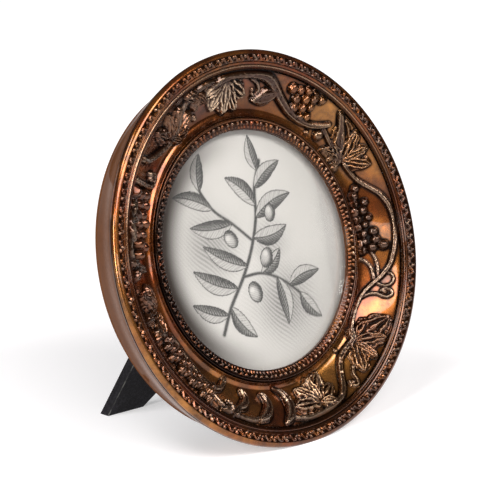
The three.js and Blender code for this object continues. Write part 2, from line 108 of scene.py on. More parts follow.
studio = {
    "world": (0.62, 0.61, 0.62), "worldStrength": 0.1, "worldSeen": 1.7,  # as light, and to the eye
    "lamps": [  # name, place, width, height, watts, colour
        ("softBox", (-0.16, -1.40, 1.33), 2.1, 0.56, 45, (1.0, 0.96, 0.93)),
        ("leftLamp", (-1.7, -0.5, 0.6), 0.3, 1.0, 26, (1.0, 0.97, 0.94)),
        ("topLamp", (-0.95, -0.15, 1.6), 0.8, 0.5, 14, (1.0, 0.98, 0.96)),
        ("fillLamp", (-0.70, -1.72, 0.58), 1.1, 0.28, 6, (1.0, 0.95, 0.90)),
    ],
    "aim": (0, 0, 0.07),
}


def addLight():
    world = bpy.data.worlds.new("studio")
    world.use_nodes = True
    sky = world.node_tree.nodes["Background"]
    sky.inputs["Color"].default_value = (*studio["world"], 1)
    flow = Flow(world.node_tree)
    seen = flow.node("ShaderNodeLightPath", out="Is Camera Ray")
    feed(sky, {"Strength": studio["worldStrength"] + seen * (studio["worldSeen"] - studio["worldStrength"])})
    bpy.context.scene.world = world
    for name, place, width, height, watts, colour in studio["lamps"]:
        data = bpy.data.lights.new(name, "AREA")
        data.shape = "RECTANGLE"
        data.size, data.size_y = width, height
        data.energy = watts
        data.color = colour
        lamp = show(bpy.data.objects.new(name, data))
        lamp.location = place
        lamp.rotation_euler = (Vector(studio["aim"]) - Vector(place)).to_track_quat("-Z", "Y").to_euler()
    view = bpy.context.scene.view_settings
    view.view_transform = "Standard"
    view.look = "None"


class Flow:
    def __init__(self, tree, socket=None):
        self.tree = tree
        self.socket = socket

    def node(self, kind, settings=None, values=None, out=0):
        made = self.tree.nodes.new(kind)
        for name, value in (settings or {}).items():
            setattr(made, name, value)
        feed(made, values or {})
        return Flow(self.tree, made.outputs[out])

    def sum(self, operation, first, second):
        return self.node("ShaderNodeMath", {"operation": operation}, {0: first, 1: second})

    def __add__(self, other):
        return self.sum("ADD", self, other)

    __radd__ = __add__

    def __sub__(self, other):
        return self.sum("SUBTRACT", self, other)

    def __rsub__(self, other):
        return self.sum("SUBTRACT", other, self)

    def __mul__(self, other):
        return self.sum("MULTIPLY", self, other)

    __rmul__ = __mul__


def newMaterial(name):
    material = bpy.data.materials.new(name)
    material.use_nodes = True
    shader = material.node_tree.nodes["Principled BSDF"]
    return material, Flow(material.node_tree), shader


def feed(node, values):
    for name, value in values.items():
        if isinstance(value, Flow):
            value.tree.links.new(value.socket, node.inputs[name])
        else:
            node.inputs[name].default_value = value


def blendColour(flow, share, first, second):
    asColour = lambda c: c if isinstance(c, Flow) else (*c, 1)
    values = {"Factor": share, 6: asColour(first), 7: asColour(second)}
    return flow.node("ShaderNodeMix", {"data_type": "RGBA"}, values, 2)


def attribute(flow, name):
    return flow.node("ShaderNodeAttribute", {"attribute_name": name}, out="Fac")


def grain(flow, scale, detail=3.0, rough=0.55):
    place = flow.node("ShaderNodeTexCoord", out="Object")
    values = {"Vector": place, "Scale": scale, "Detail": detail, "Roughness": rough}
    return flow.node("ShaderNodeTexNoise", None, values, "Fac")


def spread(flow, value, low, high, toLow=0.0, toHigh=1.0):
    values = {0: value, 1: low, 2: high, 3: toLow, 4: toHigh}
    return flow.node("ShaderNodeMapRange", {"clamp": True}, values)


def bump(flow, height, strength, distance):
    return flow.node("ShaderNodeBump", None, {"Height": height, "Strength": strength, "Distance": distance})


lacquer = {
    "copper": (0.195, 0.044, 0.011), "gold": (0.255, 0.088, 0.018), "gilt": (0.42, 0.195, 0.045),
    "carved": (0.036, 0.0145, 0.0075), "worn": (0.56, 0.40, 0.27), "wornGilt": (0.52, 0.33, 0.16),
    "dirt": (0.003, 0.0015, 0.001), "wall": (0.104, 0.039, 0.015), "wallWorn": (0.33, 0.22, 0.18),
    "metal": 0.88, "roughness": 0.21, "wallRough": 0.2, "coatRoughness": 0.04,
    "coat": 0.5, "carvedCoat": 0.08, "wallCoat": 0.14, "streak": 1.0, "dull": 0.42,
    "mottle": 0.8, "carvedShare": 0.93, "ripple": 0.07,
}


def makeLacquer():
    material, flow, shader = newMaterial("bronze_lacquer_finish")
    cloud = spread(flow, grain(flow, 52, 3), 0.38, 0.62)
    speck = grain(flow, 900, 2, 0.6)
    tone, patina, worn, plain, gilt = [attribute(flow, name) for name in ("tone", "patina", "worn", "plain", "gilt")]
    ground = blendColour(flow, cloud, lacquer["copper"], lacquer["gold"])
    # gilt ground, partly painted light
    ground = blendColour(flow, gilt * (0.55 + 0.45 * cloud), ground, lacquer["gilt"])
    ground = blendColour(flow, plain, ground, lacquer["wall"])
    mottle = spread(flow, grain(flow, 130, 4, 0.65), 0.38, 0.66, 0.0, lacquer["mottle"])
    ground = blendColour(flow, mottle * (1 - 0.7 * plain), ground, lacquer["carved"])
    # dark carved paint on the relief, with painted shade where tone is laid for it
    colour = blendColour(flow, tone * lacquer["carvedShare"], ground, lacquer["carved"])
    # lighter colour: wear on high points, with painted highlight on beads, leaves and the inner band, and painted
    # reflection on the wall
    rubbed = blendColour(flow, gilt, lacquer["worn"], lacquer["wornGilt"])
    # the wall's lighter colour is a painted reflection
    rubbed = blendColour(flow, plain, rubbed, lacquer["wallWorn"])
    colour = blendColour(flow, worn * spread(flow, speck, 0.3, 0.65, 0.35, 0.9), colour, rubbed)
    # patina in recesses, with painted shade where it is laid on the crest and the bands
    colour = blendColour(flow, patina, colour, lacquer["dirt"])
    rough = lacquer["roughness"]
    streak = spread(flow, grain(flow, 260, 3), 0.3, 0.7, rough - 0.05, rough + 0.09)
    # the wall's coat is raised along the painted reflection
    wallCoat = worn * lacquer["streak"] + (lacquer["wallCoat"] - lacquer["coat"])
    coat = lacquer["coat"] + tone * lacquer["carvedCoat"] + plain * wallCoat - patina * lacquer["dull"]
    ripple = grain(flow, 420, 3, 0.5) + speck * 0.3
    feed(shader, {
        "Base Color": colour, "Metallic": lacquer["metal"] * (1 - plain), "Specular IOR Level": 0.0,
        "Roughness": streak + plain * lacquer["wallRough"], "Coat Weight": coat,
        "Coat Roughness": lacquer["coatRoughness"], "Normal": bump(flow, ripple, lacquer["ripple"], 0.0004),
    })
    return material


glassLook = {"tint": (0.985, 0.985, 0.982), "gloss": 0.4, "ior": 1.45}


def makeGlass():
    material, flow, shader = newMaterial("clear_glass_finish")
    nodes = material.node_tree.nodes
    nodes.remove(shader)
    smudge = spread(flow, grain(flow, 60, 4), 0.4, 0.8, 0.02, 0.07)
    clear = flow.node("ShaderNodeBsdfTransparent", None, {"Color": (*glassLook["tint"], 1)})
    gloss = flow.node("ShaderNodeBsdfGlossy", None, {"Color": (1, 1, 1, 1), "Roughness": smudge})
    share = flow.node("ShaderNodeFresnel", None, {"IOR": glassLook["ior"]}) * glassLook["gloss"]
    mixed = flow.node("ShaderNodeMixShader", None, {0: share, 1: clear, 2: gloss})
    material.node_tree.links.new(mixed.socket, nodes["Material Output"].inputs["Surface"])
    return material


paperLook = {
    "paper": (0.55, 0.545, 0.53), "shade": (0.50, 0.495, 0.478), "aged": (0.018, 0.010, 0.006),
    "pencil": (0.022, 0.024, 0.025),
}


def makePaper():
    material, flow, shader = newMaterial("print_paper_finish")
    tooth = grain(flow, 5200, 2, 0.6)
    cloud = spread(flow, grain(flow, 22, 4), 0.35, 0.7)
    sheet = blendColour(flow, cloud, paperLook["paper"], paperLook["shade"])
    # painted shadow at the paper's edge, mostly at the left
    sheet = blendColour(flow, attribute(flow, "aged"), sheet, paperLook["aged"])
    ink = attribute(flow, "pencil") * spread(flow, tooth, 0.25, 0.6, 0.72, 1.0)
    feed(shader, {
        "Base Color": blendColour(flow, ink, sheet, paperLook["pencil"]),
        "Roughness": spread(flow, tooth, 0.2, 0.8, 0.72, 0.9), "Normal": bump(flow, tooth, 0.15, 0.0002),
    })
    return material


cardLook = {"light": (0.52, 0.48, 0.43), "dark": (0.40, 0.36, 0.31)}


def makeCard():
    material, flow, shader = newMaterial("grey_card_finish")
    fibre = grain(flow, 700, 5, 0.7)
    share = spread(flow, fibre, 0.3, 0.7)
    feed(shader, {
        "Base Color": blendColour(flow, share, cardLook["dark"], cardLook["light"]),
        "Roughness": spread(flow, fibre, 0.2, 0.8, 0.78, 0.95), "Normal": bump(flow, fibre, 0.2, 0.0003),
    })
    return material


flockLook = {
    "fibre": (0.002, 0.0018, 0.0025), "tip": (0.040, 0.036, 0.047), "rubbed": (0.085, 0.085, 0.078), "gloss": 0.16,
}


def makeFlock():
    material, flow, shader = newMaterial("black_flock_finish")
    pile = grain(flow, 3600, 4, 0.7)
    nap = spread(flow, grain(flow, 55, 4), 0.3, 0.75)
    tuft = spread(flow, grain(flow, 950, 3, 0.7), 0.42, 0.66, 0.05, 1.0)
    tips = spread(flow, pile, 0.42, 0.72, 0.3, 1.0) * tuft * (0.35 + 0.65 * nap)
    colour = blendColour(flow, tips, flockLook["fibre"], flockLook["tip"])
    # lighter colour on the eased edges
    edges = attribute(flow, "rubbed") * spread(flow, grain(flow, 420, 3), 0.42, 0.6, 0.1, 1.0)
    feed(shader, {
        "Base Color": blendColour(flow, edges, colour, flockLook["rubbed"]), "Specular IOR Level": flockLook["gloss"],
        "Roughness": spread(flow, pile, 0.2, 0.8, 0.5, 0.8), "Normal": bump(flow, pile, 0.5, 0.0005),
    })
    return material


def makeMetal(name, light, dark, rough):
    material, flow, shader = newMaterial(name)
    stain = spread(flow, grain(flow, 120, 4), 0.35, 0.72)
    scratch = grain(flow, 1500, 2, 0.7)
    dulled = spread(flow, stain + scratch * 0.4, 0.1, 1.2, rough - 0.1, rough + 0.14)
    feed(shader, {
        "Base Color": blendColour(flow, stain, light, dark), "Metallic": 1.0, "Roughness": dulled,
        "Normal": bump(flow, scratch, 0.12, 0.0002),
    })
    return material


floorLook = {
    "radius": 9.0, "colour": (0.70, 0.70, 0.725), "near": 0.40, "far": 1.0, "start": 0.17, "stop": 1.3, "fade": 0.34,
}


def addFloor():
    material, flow, shader = newMaterial("floor_paper")
    place = flow.node("ShaderNodeTexCoord", out="Object")
    away = flow.node("ShaderNodeVectorMath", {"operation": "LENGTH"}, {0: place}, "Value")
    turn = math.radians(shot["azimuth"])
    facing = {0: place, 1: (math.sin(turn), math.cos(turn), 0)}
    ahead = flow.node("ShaderNodeVectorMath", {"operation": "DOT_PRODUCT"}, facing, "Value")
    behind = spread(flow, flow.sum("DIVIDE", ahead, away), 0.7, 0.86)  # the backdrop's side of the floor
    start, near = floorLook["start"], floorLook["near"]
    side = spread(flow, away, start, floorLook["fade"], near, 0)
    back = spread(flow, away, start, floorLook["stop"], near, floorLook["far"])
    seen = flow.node("ShaderNodeLightPath", out="Is Camera Ray")  # pale all round to the eye, dim in the gloss
    glow = side + (behind + seen * (1 - behind)) * (back - side)
    feed(shader, {
        "Base Color": (*floorLook["colour"], 1), "Roughness": 0.6, "Specular IOR Level": 0.2,
        "Emission Color": blendColour(flow, glow, (0, 0, 0), (1, 1, 1)), "Emission Strength": 1.0,
    })
    disc = lambda shape: bmesh.ops.create_circle(shape, cap_ends=True, radius=floorLook["radius"], segments=96)
    mesh = worked(bpy.data.meshes.new("floor"), disc)
    mesh.materials.append(material)
    show(bpy.data.objects.new("floor", mesh))


addCamera()
addLight()
addFloor()
finish = {
    "bronze_lacquer": makeLacquer(), "clear_glass": makeGlass(), "print_paper": makePaper(),
    "grey_card": makeCard(), "black_flock": makeFlock(),
    "plated_steel": makeMetal("plated_steel_finish", (0.58, 0.57, 0.54), (0.36, 0.35, 0.33), 0.36),
    "brass_plate": makeMetal("brass_plate_finish", (0.66, 0.48, 0.20), (0.42, 0.28, 0.10), 0.32),
}
print("stage and finishes ready")


# Meshes
def dressed(name, mesh, slot):  # smooth, in its finish, in the scene
    mesh.polygons.foreach_set("use_smooth", np.ones(len(mesh.polygons), dtype=bool))
    mesh.materials.clear()
    mesh.materials.append(finish[slot])
    return show(bpy.data.objects.new(name, mesh))


def faceOut(shape):
    bmesh.ops.recalc_face_normals(shape, faces=shape.faces)


def addPiece(name, verts, faces, slot):
    mesh = bpy.data.meshes.new(name)
    mesh.from_pydata(verts, [], faces)
    return dressed(name, worked(mesh, faceOut), slot)


def addGrid(name, grid, slot):  # a grid closed both ways
    rows, columns = grid.shape[:2]
    index = np.arange(rows * columns).reshape(rows, columns)
    down, right = np.roll(index, -1, 0), np.roll(index, -1, 1)
    faces = np.stack([index, down, np.roll(down, -1, 1), right], -1).reshape(-1, 4).tolist()
    return addPiece(name, grid.reshape(-1, 3), faces, slot)


def paintPiece(piece, **fields):
    for name, values in fields.items():
        layer = piece.data.attributes.new(name, "FLOAT", "POINT")
        layer.data.foreach_set("value", np.ascontiguousarray(values, dtype=np.float32).ravel())


def cappedFaces(columns, rows):  # an open grid, walled round its rim to a flat back, and the rim's points
    index = np.arange(columns * rows).reshape(columns, rows)
    faces = np.stack([index[:-1, :-1], index[1:, :-1], index[1:, 1:], index[:-1, 1:]], -1).reshape(-1, 4).tolist()
    rim = np.r_[index[:-1, 0], index[-1, :-1], index[:0:-1, -1], index[0, :0:-1]].tolist()
    back = list(range(index.size, index.size + len(rim)))
    faces += [(a, b, d, c) for a, b, c, d in zip(rim, rim[1:] + rim[:1], back, back[1:] + back[:1])]
    return faces + [back], rim


def fullTurn(count):
    return np.linspace(0, 2 * np.pi, count, endpoint=False)[:, None]


def spunGrid(profile, turns):  # profile of radius and depth, the same all round or one for each turn
    angle, profile = fullTurn(turns), np.asarray(profile)
    radius, depth = profile[..., 0], profile[..., 1]
    return np.stack([radius * np.cos(angle), depth + 0 * angle, radius * np.sin(angle)], -1)


def unit(vectors):
    return vectors / np.hypot(*vectors.T)[:, None]


def towards(start, stop):  # direction and length
    length = np.hypot(*(stop - start))
    return (stop - start) / length, length


def measured(x, rise, foot, axis):  # along an axis and to its side
    dx, dy = x - foot[0], rise - foot[1]
    return dx * axis[0] + dy * axis[1], -dx * axis[1] + dy * axis[0]


def catmull(points, steps):  # smooth line through points
    points = np.asarray(points, float)
    ends = np.vstack([2 * points[0] - points[1], points, 2 * points[-1] - points[-2]])
    t = np.linspace(0, 1, steps, endpoint=False)[:, None]
    line = []
    for a, b, c, d in zip(ends[:-3], ends[1:-2], ends[2:-1], ends[3:]):
        bend = (2 * a - 5 * b + 4 * c - d) * t**2 + (3 * b - a - 3 * c + d) * t**3
        line.append(0.5 * (2 * b + (c - a) * t + bend))
    return np.vstack(line + [points[-1:]])


def evenly(line, count):  # the same line with points at equal steps
    length = np.r_[0, np.cumsum(np.hypot(*np.diff(line, axis=0).T))]
    at = np.linspace(0, length[-1], count)
    return np.stack([np.interp(at, length, line[:, 0]), np.interp(at, length, line[:, 1])], -1)


def eased(value):
    value = np.clip(value, 0, 1)
    return value * value * (3 - 2 * value)


def lobe(value, middle, width):  # a soft patch about a place
    return np.exp(-(((value - middle) / width) ** 2))


def span(value, start, rise, stop, fall):  # 1 from one place to another, with soft ends
    return eased((value - start) / rise) * eased((stop - value) / fall)


# Moulding, in millimetres: radii from the middle of the picture, depths behind the widest line of the rim
moulding = {
    "outer": 80.0, "depth": 20.0, "wallStart": 1.0, "rollWidth": 2.6, "rollFace": 2.0, "rollRise": 1.7,
    "rollDrop": 1.2, "fillet": 0.75, "bandWidth": 3.2, "bandDepth": 0.9, "lipWidth": 1.2, "lipDepth": 0.7,
    "sight": 49.2, "sightDepth": 11.8, "sightLip": 1.4, "innerBand": 4.2, "innerRise": 1.6,
    "hollowOffset": 3.8, "hollowDrop": 2.4, "hollowFloor": 2.8, "hollowBelly": 1.6, "throat": 1.6,
    "throatDrop": 2.2, "shoulder": 0.9, "shoulderDrop": 0.5, "rabbet": 52.0, "turns": 480,
}


def mouldingLines():
    m = moulding
    lean = math.atan2(-backward.z, backward.y)
    band = m["outer"] - m["rollWidth"] - m["bandWidth"]
    lip = band - m["lipWidth"]
    crest, crestDepth = m["sight"] + m["innerBand"], m["sightDepth"] - m["innerRise"]
    low, lowDepth = crest + m["hollowOffset"], crestDepth + m["hollowDrop"]
    half = m["hollowFloor"] / 2
    hollow = catmull([
        (crest + m["shoulder"], crestDepth + m["shoulderDrop"]),
        (low - half, lowDepth - m["shoulderDrop"]),
        (low + half, lowDepth - m["shoulderDrop"]),
        ((low + lip) / 2, (lowDepth + m["lipDepth"]) / 2 + m["hollowBelly"]),
        (lip - m["throat"], m["lipDepth"] + m["throatDrop"]),
        (lip - m["shoulder"], m["lipDepth"] + m["shoulderDrop"]),
    ], 24)
    rear = m["outer"] - (m["depth"] - m["wallStart"]) * math.tan(lean)
    places = {"band": band, "lip": lip, "crest": crest, "crestDepth": crestDepth, "rear": rear}
    return hollow, places


hollowLine, edge = mouldingLines()


def arc(middle, depth, half, rise, start, stop, steps):
    turn = np.radians(np.linspace(start, stop, steps))
    return np.stack([middle + half * np.cos(turn), depth - rise * np.sin(turn)], -1)


rimPaint = {  # how much of each field the parts of the profile take, then where round the rim, in degrees
    "dirt": {
        "slope": 0.55, "crestBead": 0.35, "under": 1.0, "lipStep": 0.7, "lipFoot": 0.85, "fillet": 0.1,
        "bandEnd": 0.8, "bandTop": 0.6, "groove": 0.85, "back": 0.15,
    },
    "plain": {"wall": 1.0, "back": 1.0}, "carved": {"slope": 0.8, "bandTop": 0.8}, "gilt": {"roll": 0.7},
    # the beads' painted highlight along the top and painted shade below
    "bright": {"lipBead": 0.5, "crestBead": 0.125}, "dim": {"lipBead": 0.75, "crestBead": 0.75},
    "smoke": {"crestBead": 0.55, "slope": 0.33},
    "dusk": {"roll": 0.6, "lipStep": 0.85, "lipFoot": 0.85, "fillet": 0.85},
    "rubbed": (10, 45, 190, 35), "smoked": (115, 40, 275, 40), "dusky": (5, 40, 165, 45), "duskyTurn": 130,
    # painted light: the roll's gilt about 212 degrees, lighter at the lower left
    "gilded": (212, 40), "streak": 0.48, "streakPlace": (0.26, 0.2), "streakLeast": 0.4, "streakStart": (190, 35),
}


def layRim():
    m = moulding
    ledge, outerCrest = m["sightDepth"] + m["sightLip"], m["outer"] - m["rollFace"]
    sight, crest = np.array([m["sight"], m["sightDepth"]]), np.array([edge["crest"], edge["crestDepth"]])
    lip, band = np.array([edge["lip"], m["lipDepth"]]), np.array([edge["band"], m["bandDepth"]])
    bandFoot, roll = band + (m["fillet"], 0), np.array([m["outer"], m["rollDrop"]])
    rear = np.array([edge["rear"], m["depth"]])
    share, t = np.linspace(0, 1, 9)[:, None], np.linspace(0, 1, 12)[1:, None]
    slope = sight * (1 - share) + (crest + (-0.9, 0.35)) * share
    slope[:, 1] -= 0.25 * np.sin(np.pi * share[:, 0])
    wall = (roll + (-0.04, 0.85)) * (1 - t) + (rear + (0, -0.5)) * t
    wall[:, 0] -= 0.45 * t[:, 0] ** 2
    parts = {  # each from its own corner
        "slope": slope,
        "crestBead": arc(crest[0] - 0.1, crest[1] + 0.4, 0.5, 0.4, 175, 0, 8),
        "under": hollowLine[::8] + (0, 1.1),
        "lipStep": lip + [(-0.85, 0.75), (-0.45, 0.5), (-0.1, 0.42)],
        "lipBead": arc(lip[0] + 0.35, lip[1] + 0.35, 0.4, 0.4, 180, 0, 9),
        "lipFoot": lip + [(0.85, 0.4)],
        "fillet": [band + (-0.05, -0.2), bandFoot + (-0.2, -0.42)],
        "bandEnd": bandFoot + [(0, -0.3), (0.2, -0.3)],
        "bandTop": [(outerCrest - 0.35, -0.45), (outerCrest - 0.08, -0.45)],
        "roll": arc(outerCrest, m["rollDrop"], m["rollFace"], m["rollRise"], 90, 0, 18),
        "groove": roll + [(-0.02, 0.25), (-0.32, 0.42), (-0.34, 0.66), (-0.04, 0.85)],
        "wall": wall,
        "back": [
            rear + (-0.25, -0.1), rear + (-0.7, 0), (m["rabbet"] + 0.4, m["depth"]), (m["rabbet"], m["depth"] - 0.4),
            (m["rabbet"], ledge), (m["sight"] + 0.2, ledge), (m["sight"], ledge - 0.2),
        ],
    }

    def along(values):  # each part's value at its own points
        return np.concatenate([np.full(len(points), values.get(name, 0.0)) for name, points in parts.items()])

    grid = spunGrid(np.vstack(list(parts.values())), m["turns"])
    world = toWorld(grid)  # cut level at the foot
    world[..., 2] = np.maximum(world[..., 2], 0)
    rim = addGrid("rim_moulding", world, "bronze_lacquer")
    p = rimPaint
    part = {name: along(values) for name, values in p.items() if isinstance(values, dict)}
    rows = np.ones((m["turns"], 1))
    angle = np.linspace(0, 360, m["turns"], endpoint=False)[:, None]
    rubbed = span(angle, *p["rubbed"])  # painted highlight: the beads are bright along the top, and painted shade darkens them below
    dusky = span((angle + p["duskyTurn"]) % 360, *p["dusky"])  # dark at the lower right
    smoked = span(angle, *p["smoked"])  # painted shade: the crest is dark at the left
    # painted reflection: a lighter streak along the front third of the wall, full from the lower left round the bottom
    # to the right, weaker over the top
    start, rise = p["streakStart"]
    wear = p["streakLeast"] + (1 - p["streakLeast"]) * eased((angle - start) / rise)
    streak = along({"wall": p["streak"] * lobe(t[:, 0], *p["streakPlace"])})
    paintPiece(
        rim, patina=rows * part["dirt"] + smoked * part["smoke"], plain=rows * part["plain"],
        worn=wear * streak + rubbed * part["bright"], gilt=lobe(angle, *p["gilded"]) * part["gilt"],
        tone=rows * part["carved"] + (1 - rubbed) * part["dim"] + dusky * part["dusk"],
    )
    rim.data.set_sharp_from_angle(angle=math.radians(50))
    return rim


# The vine: angles in degrees from the right-hand side, anticlockwise, and radii in millimetres
vine = {
    "turns": 1200, "columns": 74, "underStep": 9, "wall": 0.7, "cast": 0.06, "seed": 7,
    "gilt": [(40, 26, 0.62), (-66, 16, 0.7), (-128, 20, 0.45)],  # gilt ground at the right, partly painted light: place, width, share
    "smoke": (100, 36), "smokeShare": 0.4,  # painted shade on the ground at the top
    "cavity": (2.6, 0.02), "worn": (2.2, 0.12),  # how fast dirt comes with depth, and wear and painted highlight with height, and their start
    "rim": (1.6, 0.9), "rimDirt": (0.35, 0.75), "rimDirtWidth": (1.2, 1.3),  # at the inner and the outer edge
    "rib": 0.13, "gleam": 0.4, "ballBase": 0.35, "ballSwell": 1.05, "ballTone": 0.8,
    "grapeGleam": 0.06, "grapePitch": 2.1, "grapeRow": 1.78, "grapeJitter": 0.26,
    "stems": [  # line, half width at start and end, height, and for some a swelling midway
        ([(104, 69.4), (97, 71), (90, 71.2), (83, 70.8), (78, 69.5), (73.5, 66.8), (69, 63.8), (63, 61),
          (57, 60.2), (51.5, 61.2), (47.5, 63.6), (45.2, 66)], 1.35, 1.0, 2.2, 0.9),
        ([(47, 64), (41, 62.2), (36, 61.4), (31, 61.2)], 1.1, 1.0, 1.5),
        ([(28.5, 61.5), (24, 62), (20, 63.2), (17, 65), (14, 67.3), (11, 69.2), (6, 70.8), (0, 71.2),
          (-6, 70.6), (-11, 69.5), (-15, 68.2), (-19, 65.6), (-23, 62.2), (-27, 59.6), (-31, 58.2),
          (-37, 57.6), (-43, 59), (-47.5, 62)], 1.0, 0.95, 1.9),
        ([(-20, 64.6), (-15, 64.2), (-11, 62.8), (-8, 60.6)], 0.75, 0.6, 1.2),
        ([(-21, 63.4), (-16, 61.8), (-13.4, 59.4), (-12.5, 57)], 0.8, 0.7, 1.2),
        ([(-29, 59.2), (-27, 61.6), (-26, 64.6), (-26.6, 67.8), (-25.4, 69.8), (-23.8, 69.5), (-23.4, 67.4),
          (-24.6, 66)], 0.7, 0.55, 1.3),
        ([(-21.5, 63.5), (-22.4, 66.6), (-21.6, 69.1), (-19.5, 70), (-17.8, 69.2), (-17.2, 67.4)], 0.6, 0.5, 1.2),
        ([(-48, 61.5), (-53, 60.8), (-57, 60.8), (-60.5, 62.4), (-64, 65.3), (-67.5, 68.4), (-71, 70.3),
          (-76, 71.2), (-82, 71.5), (-88, 71), (-93, 69.8)], 1.45, 0.8, 2.0),
        ([(-57.5, 66.4), (-60, 68), (-61.3, 70.3), (-62.9, 71.2), (-64.3, 70), (-63.6, 68.6)], 0.7, 0.6, 1.2),
        ([(-97.6, 71), (-94.4, 68.6), (-92.2, 65.4), (-91.9, 62.4), (-93.2, 59.4), (-96, 57)], 0.8, 0.6, 2.4, 1.5),
        ([(-109, 70.4), (-105.2, 68.2), (-102.4, 65.2), (-101.8, 62.2), (-103.6, 59.2)], 0.8, 0.9, 2.3, 1.4),
        ([(-117.6, 67.4), (-114, 65.2), (-112.2, 62), (-113.8, 58.8)], 0.7, 0.8, 2.1, 1.2),
        ([(-122.5, 56.8), (-123, 59), (-124.6, 61.4), (-128, 62.9), (-133, 62.6), (-139, 60.8), (-145, 59.2),
          (-150, 58.6), (-154, 59.5)], 1.35, 1.2, 1.9),
        ([(-132, 62.8), (-128.4, 65.4), (-125, 68), (-120, 69.8), (-113, 70.4), (-107, 69.2)], 0.9, 0.9, 1.5),
        ([(-160, 68), (-157, 64), (-154.8, 60.2), (-153.2, 58.6), (-151.6, 59.4), (-152.2, 61)], 1.0, 0.7, 1.6),
        ([(144, 71), (142.4, 67.6), (139.6, 64.8), (136, 62.6), (132, 61.2), (128, 60.4)], 1.3, 1.1, 1.9),
        ([(151, 70), (150, 66), (149, 62), (147.6, 58.8), (145, 57.8), (143, 59.6), (144.2, 61.8)], 1.4, 1.05, 2.0),
        ([(128, 60.4), (124, 62.6), (120, 66), (114, 69.6), (107, 70.8), (101, 70)], 0.9, 1.1, 1.5),
        ([(180, 66), (177, 68.4), (172, 70.4), (164, 71), (156, 70.4)], 1.0, 0.9, 1.5),
        ([(31, 60), (36, 63.6), (41, 68), (45.2, 71.4)], 1.7, 1.3, 2.1),
        ([(72, 66), (75.2, 64), (78.8, 62.4), (82.6, 61.4)], 0.8, 0.6, 2.2, 2.8),
        ([(85.5, 69.2), (82.5, 67.6), (80.8, 65.2), (81.6, 63), (83.2, 63.6)], 0.8, 0.6, 1.3),
    ],
    "balls": [  # place and size
        (-24.7, 67.3, 1.0), (-17.3, 67.2, 0.8), (-63.0, 69.6, 0.9), (-152.7, 60.2, 1.0), (145.4, 60.4, 1.5),
        (83.6, 65, 0.8), (130, 66.8, 1.8), (45.6, 60.4, 2.3), (50.4, 58.2, 1.1), (112.5, 60.4, 1.2),
        (-56.5, 57.8, 1.1),
    ],
    "leaves": [  # foot, lobe tips, then how far the ridges are lightened, as wear and painted highlight, and how dark the leaf is
        ((97.5, 70), [(104.5, 60), (97.5, 56.6), (91, 57.6), (87.2, 63), (107.5, 66.4)], 1.6, 1.0),
        ((30.5, 61.4), [(42.5, 70.8), (36.5, 71.6), (29, 71.6), (23, 69.8), (38.5, 62.6)], 0.45, 0.5),
        ((-48, 62.4), [(-33.5, 70.6), (-41, 71.6), (-49.5, 71.8), (-57, 70.2), (-37.5, 63.6),
          (-44.5, 57.6)], 0.4, 0.5),
        ((-79, 68), [(-71.5, 57.4), (-78.5, 57), (-86, 59.6), (-90.2, 66), (-69.6, 64.6), (-73.5, 70.4)], 0.9, 0.7),
        ((195, 60.5), [(184.5, 62), (187.4, 70), (195, 71.4), (202.6, 69.4), (205, 63.4)], 0.2, 0.6),
        ((127, 61.4), [(133.5, 69.8), (126.4, 71.4), (119.6, 69.4), (114.4, 64.4), (116.4, 58.6),
          (122.4, 56.8)], 0.35, 0.5),
        ((110.5, 69), [(117, 70.8), (113.4, 63.6), (106.4, 64.2)], 0.4, 0.55),
        ((177.5, 66), [(182.6, 69), (176.5, 71.4), (180.6, 61.4)], 0.2),
        ((34, 60.4), [(28.2, 56.2), (34.4, 55.8), (40.6, 57)], 0.3),
        ((164, 71.4), [(156.4, 69.4), (162, 66), (170.6, 69)], 0.4),
        ((240, 70.8), [(233.6, 71.4), (236.4, 66.4), (243.4, 66.8)], 0.25),
    ],
    "clusters": [  # wide end, narrow end, width at each, half a grape, how dark
        ((60.2, 71.2), (57, 61.8), 18, 6, 1.78, 0.45),
        ((-8, 61.6), (17.5, 60.6), 10.5, 4.5, 1.85, 1.0),
        ((-130.5, 67.4), (-153, 64.6), 9.5, 6, 1.75, 0.8),
        ((153.5, 65), (174, 62), 12.5, 6, 2.2, 0.6),
    ],
}


def polar(degrees, radius):
    return np.array([radius * math.cos(math.radians(degrees)), radius * math.sin(math.radians(degrees))])


leafCut = {
    "width": 0.36, "swell": 2.02, "footPower": 0.62, "tipPower": 0.72, "least": 0.25, "teeth": 0.24,
    "teethPitch": 3.4, "folds": 2.1, "ribs": 0.66, "veer": 0.07, "notch": 0.7, "notchPitch": 2.4, "lift": 0.14,
}


